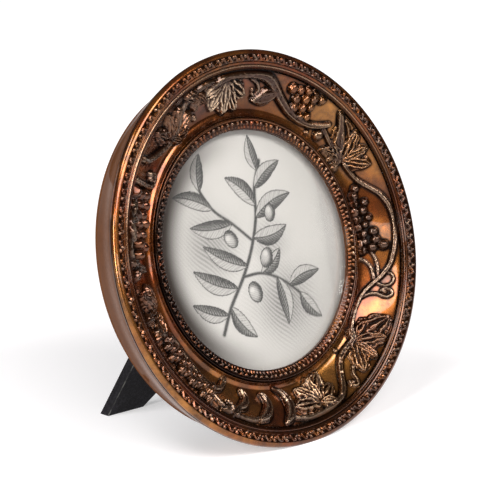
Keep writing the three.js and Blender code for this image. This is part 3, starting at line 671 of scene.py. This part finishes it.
class Carving:
    def __init__(self, x, rise):
        self.x, self.rise = x, rise
        self.height = np.zeros_like(x)
        self.tone = np.zeros_like(x)
        self.gleam = np.zeros_like(x)

    def near(self, middle, reach):
        return np.nonzero((self.x - middle[0]) ** 2 + (self.rise - middle[1]) ** 2 < reach**2)

    def raiseTo(self, where, height, tone, gleam):
        higher = height > self.height[where]
        self.gleam[where] = np.where(higher, gleam, self.gleam[where])
        self.height[where] = np.maximum(self.height[where], height)
        self.tone[where] = np.maximum(self.tone[where], tone * eased(height / 0.4))

    def stem(self, line, first, last, height, belly=0.0):
        path = catmull([polar(*point) for point in line], 14)
        path = evenly(path, max(12, int(np.hypot(*np.diff(path, axis=0).T).sum() / 0.3)))
        middle = (path.min(0) + path.max(0)) / 2
        where = self.near(middle, np.hypot(*(path - middle).T).max() + 2.5)
        x, rise = self.x[where], self.rise[where]
        best, at, signed = np.full(x.shape, 1e9), np.zeros(x.shape), np.zeros(x.shape)
        ahead = unit(np.gradient(path, axis=0))
        for i, (px, py) in enumerate(path):
            dx, dy = x - px, rise - py
            gap = dx * dx + dy * dy
            closer = gap < best
            best[closer], at[closer] = gap[closer], i / (len(path) - 1)
            signed[closer] = (ahead[i, 0] * dy - ahead[i, 1] * dx)[closer]
        half = first + (last - first) * at + belly * np.sin(np.pi * at)
        dome = np.sqrt(np.clip(1 - best / half**2, 0, 1))
        rib = 1 - vine["rib"] * np.cos(2 * np.pi * signed / half * 0.95) * (best < half**2)
        self.raiseTo(where, height * dome * rib, 1.0, vine["gleam"])

    def dome(self, middle, size, base, tone, gleam, swell=1.0):
        where = self.near(middle, size)
        gap = (self.x[where] - middle[0]) ** 2 + (self.rise[where] - middle[1]) ** 2
        self.raiseTo(where, base + np.sqrt(np.clip(size**2 - gap, 0, None)) * swell, tone, gleam)

    def ball(self, degrees, radius, size):
        middle = polar(degrees, radius)
        self.dome(middle, size, vine["ballBase"], vine["ballTone"], vine["gleam"], vine["ballSwell"])

    def leaf(self, foot, tips, gleam=1.0, tone=0.8):
        c, foot = leafCut, polar(*foot)
        for number, tip in enumerate(tips):
            axis, length = towards(foot, polar(*tip))
            where = self.near(foot + axis * length / 2, length * 0.75)
            reach, side = measured(self.x[where], self.rise[where], foot, axis)
            along = reach / length
            t = np.clip(along, 0.0, 1.0)
            teeth = 1 + c["teeth"] * (np.abs(((t * c["teethPitch"] + 0.3) % 1.0) - 0.5) * 2 - 0.5)
            outline = t ** c["footPower"] * (1 - t) ** c["tipPower"]
            half = c["width"] * length * c["swell"] * outline * teeth + c["least"]
            share = np.clip(np.abs(side) / half, 0, 1)
            inside = (along > -0.02) & (along < 1.0) & (np.abs(side) < half)
            body = (1 - share**4) * (1.0 + 0.7 * np.sin(np.pi * t) + 0.3 * t)
            fold = share + c["veer"] * np.sin(2 * np.pi * (1.4 * t + 0.23 * number))
            ribs = c["ribs"] * np.cos(2 * np.pi * c["folds"] * fold) * eased(t / 0.15) * (1 - share**6)
            step = (reach - 0.9 * np.abs(side)) / c["notchPitch"] % 1
            notch = c["notch"] * (np.abs(step - 0.5) - 0.25) * share
            lift = c["lift"] * ((number * 3) % 4)
            self.raiseTo(where, np.where(inside, np.clip(body + ribs + notch + lift, 0, None), 0), tone, gleam)

    def grapes(self, wide, narrow, first, last, size, tone, dice):
        start = polar(*wide)
        axis, length = towards(start, polar(*narrow))
        side = np.array([-axis[1], axis[0]])
        rows = max(2, int(round(length / (vine["grapeRow"] * size))) + 1)
        pitch = vine["grapePitch"]
        for row in range(rows):
            t = row / (rows - 1)
            width = first + (last - first) * t
            count = max(1, int(round(width / (pitch * size))))
            for i in range(count):
                offset = (i - (count - 1) / 2 + (0.25 if row % 2 else -0.25)) * pitch * size
                spot = start + axis * (t * length) + side * offset + dice.normal(0, vine["grapeJitter"], 2)
                own = size * dice.uniform(0.84, 1.14)
                crown = 0.5 + 0.75 * (1 - (2 * offset / (width + 2 * size)) ** 2) + dice.uniform(-0.1, 0.15)
                self.dome(spot, own, crown, tone, vine["grapeGleam"])


def softened(field, rounds):  # blurred along both directions of the grid
    for _ in range(rounds):
        field = (np.roll(field, 1, 0) + 2 * field + np.roll(field, -1, 0)) / 4
        padded = np.pad(field, ((0, 0), (1, 1)), mode="edge")
        field = (padded[:, :-2] + 2 * field + padded[:, 2:]) / 4
    return field


def layHollow():
    line = evenly(hollowLine, vine["columns"])
    ahead = unit(np.gradient(line, axis=0))
    normal = np.stack([ahead[:, 1], -ahead[:, 0]], -1)
    angle, radius = fullTurn(vine["turns"]), line[None, :, 0]
    carving = Carving(radius * np.cos(angle), radius * np.sin(angle))
    dice = np.random.default_rng(vine["seed"])
    for stem in vine["stems"]:
        carving.stem(*stem)
    for leaf in vine["leaves"]:
        carving.leaf(*leaf)
    for cluster in vine["clusters"]:
        carving.grapes(*cluster, dice)
    for ball in vine["balls"]:
        carving.ball(*ball)
    fromInner, fromOuter = radius - line[0, 0], line[-1, 0] - radius
    edges = eased(fromInner / vine["rim"][0]) * eased(fromOuter / vine["rim"][1])
    rough = softened(dice.normal(0, 1, carving.height.shape), 2)
    height = carving.height * edges + rough / rough.std() * vine["cast"] * carving.tone * edges
    height = np.clip(height, 0, None)
    cavity = softened(height, 10) - height
    deep, least = vine["cavity"]
    patina = eased(np.clip(cavity * deep + least, 0, 0.97))
    high, least = vine["worn"]
    worn = eased(np.clip(-cavity * high - least, 0, 1)) * carving.tone * carving.gleam
    bent = line[None] + normal[None] * height[..., None]
    under = line[::-vine["underStep"]] + (0, vine["wall"])
    grid = np.concatenate([spunGrid(bent, vine["turns"]), spunGrid(under, vine["turns"])], 1)
    hollow = addGrid("carved_hollow", toWorld(grid), "bronze_lacquer")
    near, far = vine["rimDirt"]
    nearWidth, farWidth = vine["rimDirtWidth"]
    edgeDirt = far * (1 - eased(fromOuter / farWidth)) + near * (1 - eased(fromInner / nearWidth))
    pad = lambda field, value: np.concatenate([field, np.full((vine["turns"], len(under)), value)], 1)
    turn = (np.degrees(angle) + 180) % 360 - 180
    # gilt on the ground, partly a painted light that brightens it
    gilt = sum(share * lobe(turn, middle, width) for middle, width, share in vine["gilt"]) + 0 * height
    # painted shade: the ground darker at the top
    shaded = vine["smokeShare"] * lobe(turn, *vine["smoke"])
    paintPiece(
        hollow, gilt=pad(gilt, 0.0), patina=pad(np.maximum(patina, edgeDirt + 0 * patina), 1.0), worn=pad(worn, 0.0),
        tone=pad(np.maximum(carving.tone * edges, shaded), 0.0), plain=pad(np.zeros_like(height), 0.0),
    )
    return hollow


def takeFrame(piece, body, slot, *nodes):  # the body it rides on and the nodes it stands for
    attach(piece, body)
    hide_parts(*nodes)


takeFrame(layRim(), "frame", "bronze_lacquer", "frame_ring")
takeFrame(layHollow(), "frame", "bronze_lacquer", "frame_ring")
print("moulding and vine laid")


# Copies of one motif on marked places, turned by a step from each to the next
def copiesTree():
    tree = bpy.data.node_groups.new("copies", "GeometryNodeTree")
    tree.interface.new_socket("Geometry", in_out="OUTPUT", socket_type="NodeSocketGeometry")
    kinds = {"Motif": "Object", "Places": "Object", "Turn": "Vector", "Step": "Vector", "Finish": "Material"}
    sockets = {}
    for name, kind in kinds.items():
        sockets[name] = tree.interface.new_socket(name, in_out="INPUT", socket_type="NodeSocket" + kind).identifier
    add = tree.nodes.new
    given, result = add("NodeGroupInput"), add("NodeGroupOutput")
    motif, places = add("GeometryNodeObjectInfo"), add("GeometryNodeObjectInfo")
    index, angle, turn = add("GeometryNodeInputIndex"), add("ShaderNodeVectorMath"), add("FunctionNodeEulerToRotation")
    angle.operation = "MULTIPLY_ADD"
    put, real = add("GeometryNodeInstanceOnPoints"), add("GeometryNodeRealizeInstances")
    paint = add("GeometryNodeSetMaterial")
    for source, output, target, socket in (
        (given, "Motif", motif, "Object"), (given, "Places", places, "Object"),
        (index, 0, angle, 0), (given, "Step", angle, 1), (given, "Turn", angle, 2), (angle, 0, turn, 0),
        (places, "Geometry", put, "Points"), (motif, "Geometry", put, "Instance"), (turn, 0, put, "Rotation"),
        (put, 0, real, 0), (real, 0, paint, "Geometry"), (given, "Finish", paint, "Material"), (paint, 0, result, 0),
    ):
        tree.links.new(source.outputs[output], target.inputs[socket])
    return tree, sockets


copies, copySockets = copiesTree()


def settled(thing):  # its modifiers made plain mesh
    graph = bpy.context.evaluated_depsgraph_get()
    mesh = bpy.data.meshes.new_from_object(thing.evaluated_get(graph))
    thing.modifiers.clear()
    thing.data = mesh


def copyOnto(name, motif, places, slot, turn=(0.0, 0.0, 0.0), step=(0.0, 0.0, 0.0)):
    points = bpy.data.meshes.new(name + "_places")
    points.from_pydata(places, [], [])
    marks = show(bpy.data.objects.new(name + "_places", points))
    holder = show(bpy.data.objects.new(name, bpy.data.meshes.new(name)))
    modifier = holder.modifiers.new(name, "NODES")
    modifier.node_group = copies
    values = {"Motif": motif, "Places": marks, "Turn": turn, "Step": step, "Finish": finish[slot]}
    for key, value in values.items():
        modifier[copySockets[key]] = value
    settled(holder)
    bpy.data.objects.remove(marks)
    return holder


# Carved bands: one motif, repeated round the picture
def shadeRound(piece, **fields):  # each field scaled from the left of the ring to its right as painted light and shade, and varied unevenly round it
    place = np.empty(3 * len(piece.data.vertices))
    piece.data.vertices.foreach_get("co", place)
    place = (place.reshape(-1, 3) - centrePart) @ turnPart / mm
    side = eased(0.5 + place[:, 0] / (1.5 * moulding["outer"]))
    turn, reach = np.arctan2(place[:, 2], place[:, 0]), np.hypot(place[:, 0], place[:, 2])
    uneven = 1 + 0.45 * np.sin(37 * turn + 2.1 * reach) + 0.3 * np.sin(11 * turn + 2)
    uneven += 0.4 * np.sin(83 * turn - 1.3 * reach + 1)
    for name, (left, right) in fields.items():
        layer = piece.data.attributes[name].data
        values = np.empty(len(side))
        layer.foreach_get("value", values)
        layer.foreach_set("value", np.clip(values * uneven * (left + (right - left) * side), 0, 1))


def motifPiece(name, inner, outer, band, shape):  # inner and outer edge: radius and depth
    columns, rows, shade = band["columns"], band["rows"], band["shade"]
    along, out = np.meshgrid(np.linspace(-1, 1, columns), np.linspace(0, 1, rows), indexing="ij")
    height = shape(along, out)
    inner, outer = np.array(inner), np.array(outer)
    lean = (outer - inner) / np.hypot(*(outer - inner))
    radius, flat = [start + (stop - start) * out for start, stop in zip(inner, outer)]
    radius, depth = radius + lean[1] * height, flat - lean[0] * height
    angle = along * math.pi / band["count"]
    top = np.stack([radius * np.sin(angle), depth, radius * np.cos(angle)], -1).reshape(-1, 3)
    low = top.copy()
    low[:, 1] = np.maximum(top[:, 1], flat.ravel()) + band["sunk"]
    faces, rim = cappedFaces(columns, rows)
    piece = addPiece(name, np.vstack([top, low[rim]]) * mm, faces, "bronze_lacquer")
    raised = np.r_[height.ravel(), np.zeros(len(rim))]
    share = raised / max(raised.max(), 1e-6)
    paintPiece(
        piece, patina=shade * eased(0.6 - 1.3 * share), worn=0.42 * eased((share - 0.66) / 0.34),
        tone=0.8 * shade * np.ones_like(share), plain=np.zeros_like(share),
    )
    return piece


leafBand = {
    "count": 25, "columns": 79, "rows": 9, "height": 0.72, "shade": 0.6, "sunk": 0.35,
    "sway": (0.0, 0.09, -0.07), "swell": (1.0, 0.86, 1.1),
    "shading": {"tone": (0.45, 1.9), "worn": (0.9, 0.45), "patina": (0.6, 0.8)},  # at the left and the right: painted light and shade, lighter at the left and darker at the right
}
innerBand = {
    "count": 31, "columns": 49, "rows": 11, "height": 0.68, "shade": 0.6, "sunk": 0.35,
    "sway": (0.0, 0.16), "swell": (1.0, 0.8),
    # at the left and the right: painted shade at the left and painted highlight at the right
    "shading": {"tone": (1.9, 0.5), "worn": (0.2, 1.6), "patina": (1.6, 0.6)},
}


def ridge(distance, half, rise=0.0, tall=1.0):  # a rounded ridge, or a rounded bud with its height too
    return np.sqrt(np.clip(1 - (distance / half) ** 2 - (rise / tall) ** 2, 0, 1))


def sprays(along, band):  # each spray's own place along it and swelling
    parts = len(band["sway"])
    spray = np.clip((along + 1) * parts / 2, 0, parts - 0.001).astype(int)
    along = (along + 1) * parts % 2 - 1
    return along + np.array(band["sway"])[spray] * (1 - along**2), np.array(band["swell"])[spray]


def scrolls(along, out):  # three sprays of an S, a hook and a bud, each cut a little differently
    along, swell = sprays(along, leafBand)
    curl = ridge(along + 0.5 - 0.21 * np.sin(2 * np.pi * (out - 0.08)), 0.19)
    hook = 0.85 * ridge(along - 0.45 - 0.24 * np.cos(np.pi * (out - 0.1)), 0.17)
    bud = 0.9 * ridge(along - 0.02, 0.2, out - 0.66, 0.26)
    seed = 0.7 * ridge(np.abs(along) - 0.92, 0.12, out - 0.3, 0.24)
    fade = eased(out / 0.1) * eased((1 - out) / 0.08)
    return leafBand["height"] * np.maximum.reduce([curl * swell, hook, bud / swell, seed]) * fade


def slantedTips(along, out):  # a row of small flutes with a leaf and a curl above them
    along, swell = sprays(along, innerBand)
    wave = (1.5 * along + 0.5 * out) % 1 - 0.5
    flute = 0.6 * ridge(wave, 0.33) * eased(out / 0.1) * eased((0.56 - out) / 0.12)
    leaf = ridge(along + 0.5 - 0.5 * (out - 0.7), 0.34, out - 0.74, 0.24)
    curl = 0.9 * ridge(along - 0.48 - 0.22 * np.sin(2 * np.pi * (out - 0.5)), 0.2) * eased((out - 0.5) / 0.1)
    return innerBand["height"] * np.maximum.reduce([flute / swell, leaf * swell, curl]) * eased((1 - out) / 0.08)


def layBand(name, motifName, inner, outer, band, shape):
    motif = motifPiece(motifName, inner, outer, band, shape)
    count = band["count"]
    holder = copyOnto(name, motif, [(0, 0, 0)] * count, "bronze_lacquer", step=(0.0, 2 * math.pi / count, 0.0))
    holder.data.transform(discMatrix)
    bpy.data.objects.remove(motif)
    shadeRound(holder, **band["shading"])
    takeFrame(holder, "frame", "bronze_lacquer", "frame_ring")


def layBands():
    m = moulding
    leafInner = edge["band"] + m["fillet"] + 0.1, m["bandDepth"] - 0.3
    leafOuter = m["outer"] - m["rollFace"] - 0.1, -0.42
    layBand("leaf_band", "leaf_motif", leafInner, leafOuter, leafBand, scrolls)
    tipInner = m["sight"] + 0.25, m["sightDepth"] - 0.1
    tipOuter = edge["crest"] - 0.8, edge["crestDepth"] + 0.3
    layBand("inner_leaf_band", "tip_motif", tipInner, tipOuter, innerBand, slantedTips)


layBands()
print("carved bands laid")

# Print: an olive sprig in pencil on toned paper, in millimetres from the middle
printSheet = {
    "radius": 51.7, "front": 15.6, "thickness": 0.3, "cells": 290, "agedStart": 5.7, "agedWidth": 11.0, "seed": 5,
    "stem": [(-23, -31), (-17, -21), (-8, -10), (-1, 1), (4, 13), (6, 25), (11, 36)],
    "twigs": [[(-8, -10), (2, -10), (12, -14), (21, -21)], [(0, 4), (-9, 12), (-18, 19), (-24, 29)]],
    "leaves": [  # foot, tip, half width, bend
        ((-19, -24), (-36, -17), 3.4, 1.5), ((-17, -21), (-6, -35), 3.6, -1.5), ((-12, -14), (-33, -4), 3.9, 2.0),
        ((-5, -6), (-26, 5), 3.8, 1.6), ((2, -10), (14, -1), 3.4, -1.2), ((10, -13), (12, -33), 3.7, 1.8),
        ((16, -17), (34, -13), 3.6, 1.6), ((21, -21), (31, -33), 3.4, -1.0), ((1, 5), (20, 8), 4.0, -1.8),
        ((4, 13), (25, 21), 4.0, 1.8), ((5, 18), (-9, 31), 3.8, -1.5), ((6, 25), (22, 35), 3.5, 1.4),
        ((9, 32), (7, 47), 3.2, 1.0), ((-9, 12), (-31, 13), 3.8, 1.6), ((-18, 19), (-37, 26), 3.5, -1.4),
        ((-23, 27), (-20, 42), 3.3, 1.2),
    ],
    "olives": [(-3, -17, 3.6, 4.6, 20), (6, -4, 3.4, 4.4, -30), (-11, 6, 3.2, 4.2, 40), (12, 14, 3.0, 3.9, -15)],
    "tones": [(12, -24, 15, 0.6), (-22, 4, 13, 0.5), (10, 2, 9, 0.4)],  # patches of loose hatching
    "stemStroke": (0.75, 0.85), "twigStroke": (0.6, 0.8),  # half width and darkness
    "pressure": (1.6, 2.2),  # least and most
}


class Pencil:
    def __init__(self, x, rise):
        self.x, self.rise = x, rise
        self.ink = np.zeros_like(x)

    def line(self, points, half, dark):
        path = evenly(catmull(points, 14), 160)
        low, high = path.min(0) - 2, path.max(0) + 2
        where = np.nonzero((self.x > low[0]) & (self.x < high[0]) & (self.rise > low[1]) & (self.rise < high[1]))
        gap = np.full(len(where[0]), 1e9)
        for px, py in path:
            gap = np.minimum(gap, (self.x[where] - px) ** 2 + (self.rise[where] - py) ** 2)
        self.ink[where] = np.maximum(self.ink[where], dark * np.exp(-gap / half**2))

    def blade(self, foot, tip, half, bend):
        axis, length = towards(np.array(foot), np.array(tip))
        reach, side = measured(self.x, self.rise, foot, axis)
        along = reach / length
        t = np.clip(along, 0, 1)
        side = side - bend * 4 * t * (1 - t)
        width = half * np.sin(np.pi * t**0.85) ** 0.8 + 0.05
        inside = (along > 0) & (along < 1) & (np.abs(side) < width)
        share, shaded = np.abs(side) / width, side < 0
        wash = np.where(shaded, 0.24 + 0.42 * share * (1 - 0.5 * t), 0.06)
        strokes = np.clip(np.cos(2 * np.pi * (reach - 0.9 * np.abs(side)) / 1.35), 0, 1)
        hatch = np.where(shaded, 0.44, 0.16) * strokes
        veins = 0.3 * np.clip(np.cos(2 * np.pi * (reach - 1.1 * np.abs(side)) / 3.1), 0, 1) ** 8
        rib = 0.75 * lobe(side, 0, 0.28)
        outline = np.where(shaded, 0.95, 0.75) * lobe(np.abs(side), width, 0.42)
        drawn = np.maximum.reduce([wash + hatch, veins, rib, outline])
        self.ink[inside] = drawn[inside]

    def olive(self, x, rise, across, tall, degrees):
        turn = math.radians(degrees)
        u, v = measured(self.x, self.rise, (x, rise), (math.cos(turn), math.sin(turn)))
        ring = np.hypot(u / across, v / tall)
        inside = ring < 1
        shade = 0.12 + 0.62 * eased(ring * 0.75 + 0.35 * u / across - 0.1) + 0.1 * np.cos(2 * np.pi * (u + v) / 1.2)
        gleam = np.exp(-(((u + 0.35 * across) ** 2 + (v - 0.35 * tall) ** 2) / 0.9))
        outline = 0.9 * lobe(ring * across, across, 0.45)
        drawn = np.maximum(np.clip(shade - 0.5 * gleam, 0, 1), outline)
        self.ink[inside] = drawn[inside]

    def tone(self, x, rise, reach, dark):
        fall = np.exp(-(((self.x - x) ** 2 + (self.rise - rise) ** 2) / reach**2))
        slant = self.x * 0.72 + self.rise * 0.7 + 0.6 * np.sin(self.x * 0.35)
        lines = 0.5 + 0.5 * np.cos(2 * np.pi * slant / 1.5)
        self.ink = np.maximum(self.ink, dark * fall * (0.25 + 0.45 * lines))


def layPrint():
    p = printSheet
    line = np.linspace(-1, 1, p["cells"])
    u, v = np.meshgrid(line, line, indexing="ij")
    wide = np.abs(u) > np.abs(v)
    safe = lambda value: np.where(np.abs(value) < 1e-9, 1e-9, value)
    turn = np.where(wide, np.pi / 4 * v / safe(u), np.pi / 2 - np.pi / 4 * u / safe(v))
    radius = np.where(wide, u, v) * p["radius"]
    x, rise = radius * np.cos(turn), radius * np.sin(turn)
    pencil = Pencil(x, rise)
    dice = np.random.default_rng(p["seed"])
    for tone in p["tones"]:
        pencil.tone(*tone)
    pencil.line(p["stem"], *p["stemStroke"])
    for twig in p["twigs"]:
        pencil.line(twig, *p["twigStroke"])
    for blade in p["leaves"]:
        pencil.blade(*blade)
    for olive in p["olives"]:
        pencil.olive(*olive)
    ink = np.clip(pencil.ink * dice.uniform(*p["pressure"], x.shape), 0, 1)
    # painted shadow along the paper's edge
    aged = eased(1 - (p["radius"] - p["agedStart"] - np.hypot(x, rise)) / p["agedWidth"]) ** 1.1
    aged *= 0.03 + 0.97 * eased(0.12 - x / p["radius"])  # painted shadow, darker towards the left
    top = np.stack([x, p["front"] + 0 * x, rise], -1).reshape(-1, 3)
    faces, rim = cappedFaces(p["cells"], p["cells"])
    low = top[rim] + (0, p["thickness"], 0)
    sheet = addPiece("pencil_print", toWorld(np.vstack([top, low])), faces, "print_paper")
    pad = np.zeros(len(rim))
    paintPiece(sheet, pencil=np.r_[ink.ravel(), pad], aged=np.r_[aged.ravel(), pad])
    sheet.data.set_sharp_from_angle(angle=math.radians(40))
    return sheet


takeFrame(layPrint(), "frame", "print_paper", "picture_print")
print("print drawn")


# Plain pieces: the CAD shape with eased edges
easing = {"merge": 1e-6, "flat": math.radians(1), "corner": math.radians(32), "sharp": math.radians(26), "steps": 2}


def refined(node, name, slot, width):
    def ease(shape):
        bmesh.ops.remove_doubles(shape, verts=shape.verts, dist=easing["merge"])
        bmesh.ops.dissolve_limit(shape, angle_limit=easing["flat"], verts=shape.verts, edges=shape.edges)
        rubbed = shape.faces.layers.float.new("rubbed")
        paired = [line for line in shape.edges if len(line.link_faces) == 2]
        corners = [line for line in paired if line.calc_face_angle(0) > easing["corner"]]
        cut = bmesh.ops.bevel(
            shape, geom=corners, offset=width * mm, offset_type="OFFSET", segments=easing["steps"], profile=0.5,
            affect="EDGES", clamp_overlap=True,
        )
        for face in cut["faces"]:
            face[rubbed] = 1.0
        faceOut(shape)

    mesh = worked(frame["nodes"][node].data.copy(), ease)
    mesh.name = name
    piece = dressed(name, mesh, slot)
    mesh.set_sharp_from_angle(angle=easing["sharp"])
    return piece


plainPieces = [  # node, piece, body, slot, width of the eased edge in millimetres
    ("easel_leg", "flocked_leg", "leg", "black_flock", 0.9),
    ("backing_board", "flocked_board", "frame", "black_flock", 0.4),
    ("hinge_board_leaf", "board_leaf_plate", "frame", "plated_steel", 0.12),
    ("hinge_leg_leaf", "leg_leaf_plate", "leg", "plated_steel", 0.12),
    ("hinge_pin", "hinge_pin_rod", "frame", "plated_steel", 0.15),
    ("hanger_strap", "hanger_strap_plate", "frame", "plated_steel", 0.12),
    *((f"turn_button_{i}", f"turn_button_tongue_{i}", f"button_{i}", "brass_plate", 0.18) for i in range(1, 5)),
    ("filler_card", "grey_filler_card", "frame", "grey_card", 0.15),
]
for node, name, body, slot, width in plainPieces:
    takeFrame(refined(node, name, slot, width), body, slot, node)
print("plain pieces eased")


# Screws and rivets, set by their places on the hinge, the buttons and the strap
screw = {
    "head": 2.3, "rise": 1.0, "shank": 1.0, "length": 6.1, "sides": 32,
    "slot": 0.55, "slotDepth": 0.6, "slotLength": 8,
}
rivet = {"head": 1.8, "rise": 0.7, "shank": 0.9, "length": 3.8, "sides": 24}


def turnedPiece(name, profile, sides, slot):  # profile of radius and height along Y, from pole to pole
    rings = spunGrid(profile[1:-1], sides)
    count = rings.shape[1]
    verts = np.vstack([rings.reshape(-1, 3), [(0, profile[0][1], 0), (0, profile[-1][1], 0)]]) * mm
    first, last = sides * count, sides * count + 1
    faces = []
    for i in range(sides):
        a, b = i * count, (i + 1) % sides * count
        faces += [(a + k, b + k, b + k + 1, a + k + 1) for k in range(count - 1)]
        faces += [(first, b, a), (last, a + count - 1, b + count - 1)]
    piece = addPiece(name, verts, faces, slot)
    piece.data.set_sharp_from_angle(angle=math.radians(40))
    return piece


def headed(sizes):
    half = sizes["length"] / 2
    seat = half - sizes["rise"]
    turn = np.radians(np.linspace(0, 90, 8))
    dome = [(sizes["head"] * math.cos(a), seat + sizes["rise"] * math.sin(a)) for a in turn[:-1]]
    shank = [(sizes["shank"], -half), (sizes["shank"], seat)]
    return [(0, -half), *shank, (sizes["head"] - 0.12, seat), *dome, (0, half)]


def screwMotif():
    body = turnedPiece("screw_motif", headed(screw), screw["sides"], "plated_steel")
    size = Matrix.Diagonal((screw["slotLength"] * mm, 2 * screw["slotDepth"] * mm, screw["slot"] * mm, 1))
    matrix = Matrix.Translation((0, screw["length"] / 2 * mm, 0)) @ size
    block = lambda shape: bmesh.ops.create_cube(shape, size=1, matrix=matrix)
    tool = show(bpy.data.objects.new("slot_cutter", worked(bpy.data.meshes.new("slot_cutter"), block)))
    cut = body.modifiers.new("slot", "BOOLEAN")
    cut.object, cut.solver = tool, "EXACT"
    settled(body)
    bpy.data.objects.remove(tool)
    return body


def setFasteners(name, motif, nodes, axis, slot, body):
    places = [sum(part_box(node), Vector()) / 2 for node in nodes]
    holder = copyOnto(name, motif, places, slot, turn=axis.to_track_quat("Y", "Z").to_euler())
    takeFrame(holder, body, slot, *nodes)


legFace = max(frame["nodes"]["easel_leg"].data.polygons, key=lambda face: face.area).normal
legBack = Vector(legFace) if legFace.y > 0 else -Vector(legFace)
screwBody = screwMotif()
rivetBody = turnedPiece("rivet_motif", headed(rivet), rivet["sides"], "brass_plate")
fasteners = [  # piece, motif, nodes, direction, slot, body
    ("button_screws", screwBody, [f"turn_button_screw_{i}" for i in range(1, 5)], backward, "plated_steel", "frame"),
    ("strap_screw", screwBody, ["hanger_screw"], backward, "plated_steel", "frame"),
    ("board_leaf_rivets", rivetBody, ["board_leaf_rivet_1", "board_leaf_rivet_2"], backward, "brass_plate", "frame"),
    ("leg_leaf_rivets", rivetBody, ["leg_leaf_rivet_1", "leg_leaf_rivet_2"], -legBack, "brass_plate", "leg"),
]
for row in fasteners:
    setFasteners(*row)
for motif in (screwBody, rivetBody):
    bpy.data.objects.remove(motif)
print("screws and rivets set")

wireLoop = {"wire": 0.8, "width": 12.0, "drop": 11.0, "round": 5.5, "corner": 2.5, "steps": 160, "sides": 16}


def layLoop():
    w = wireLoop
    half = w["width"] / 2
    bend = np.radians(np.linspace(90, 0, 12))
    bow = np.radians(np.linspace(0, -180, 40))
    right = np.stack([half - w["corner"] + w["corner"] * np.cos(bend), -w["corner"] + w["corner"] * np.sin(bend)], -1)
    low = np.stack([half * np.cos(bow), w["round"] - w["drop"] + w["round"] * np.sin(bow)], -1)
    path = np.vstack([right, low, right[::-1] * (-1, 1), right[:1]])
    path = evenly(path, w["steps"] + 1)[:-1]
    ahead = unit(np.roll(path, -1, 0) - np.roll(path, 1, 0))
    turn = fullTurn(w["sides"]).T
    out, deep = w["wire"] * np.cos(turn), w["wire"] * np.sin(turn)
    points = np.stack([path[:, :1] + ahead[:, 1:] * out, deep + 0 * path[:, :1], path[:, 1:] - ahead[:, :1] * out], -1)
    low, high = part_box("hanger_ring")
    pivot = np.array([(low.x + high.x) / 2, (low.y + high.y) / 2, high.z - w["wire"] * mm])
    return addGrid("hanger_wire_loop", points * mm + pivot, "plated_steel")


takeFrame(layLoop(), "hanger", "plated_steel", "hanger_ring")
print("hanger loop bent")

slots = {row["node"]: row["material_slot"] for row in frame["record"]["subparts"]}
for name, node in frame["nodes"].items():
    node.data.materials.clear()
    node.data.materials.append(finish[slots[name]])
print("materials on the plain nodes")
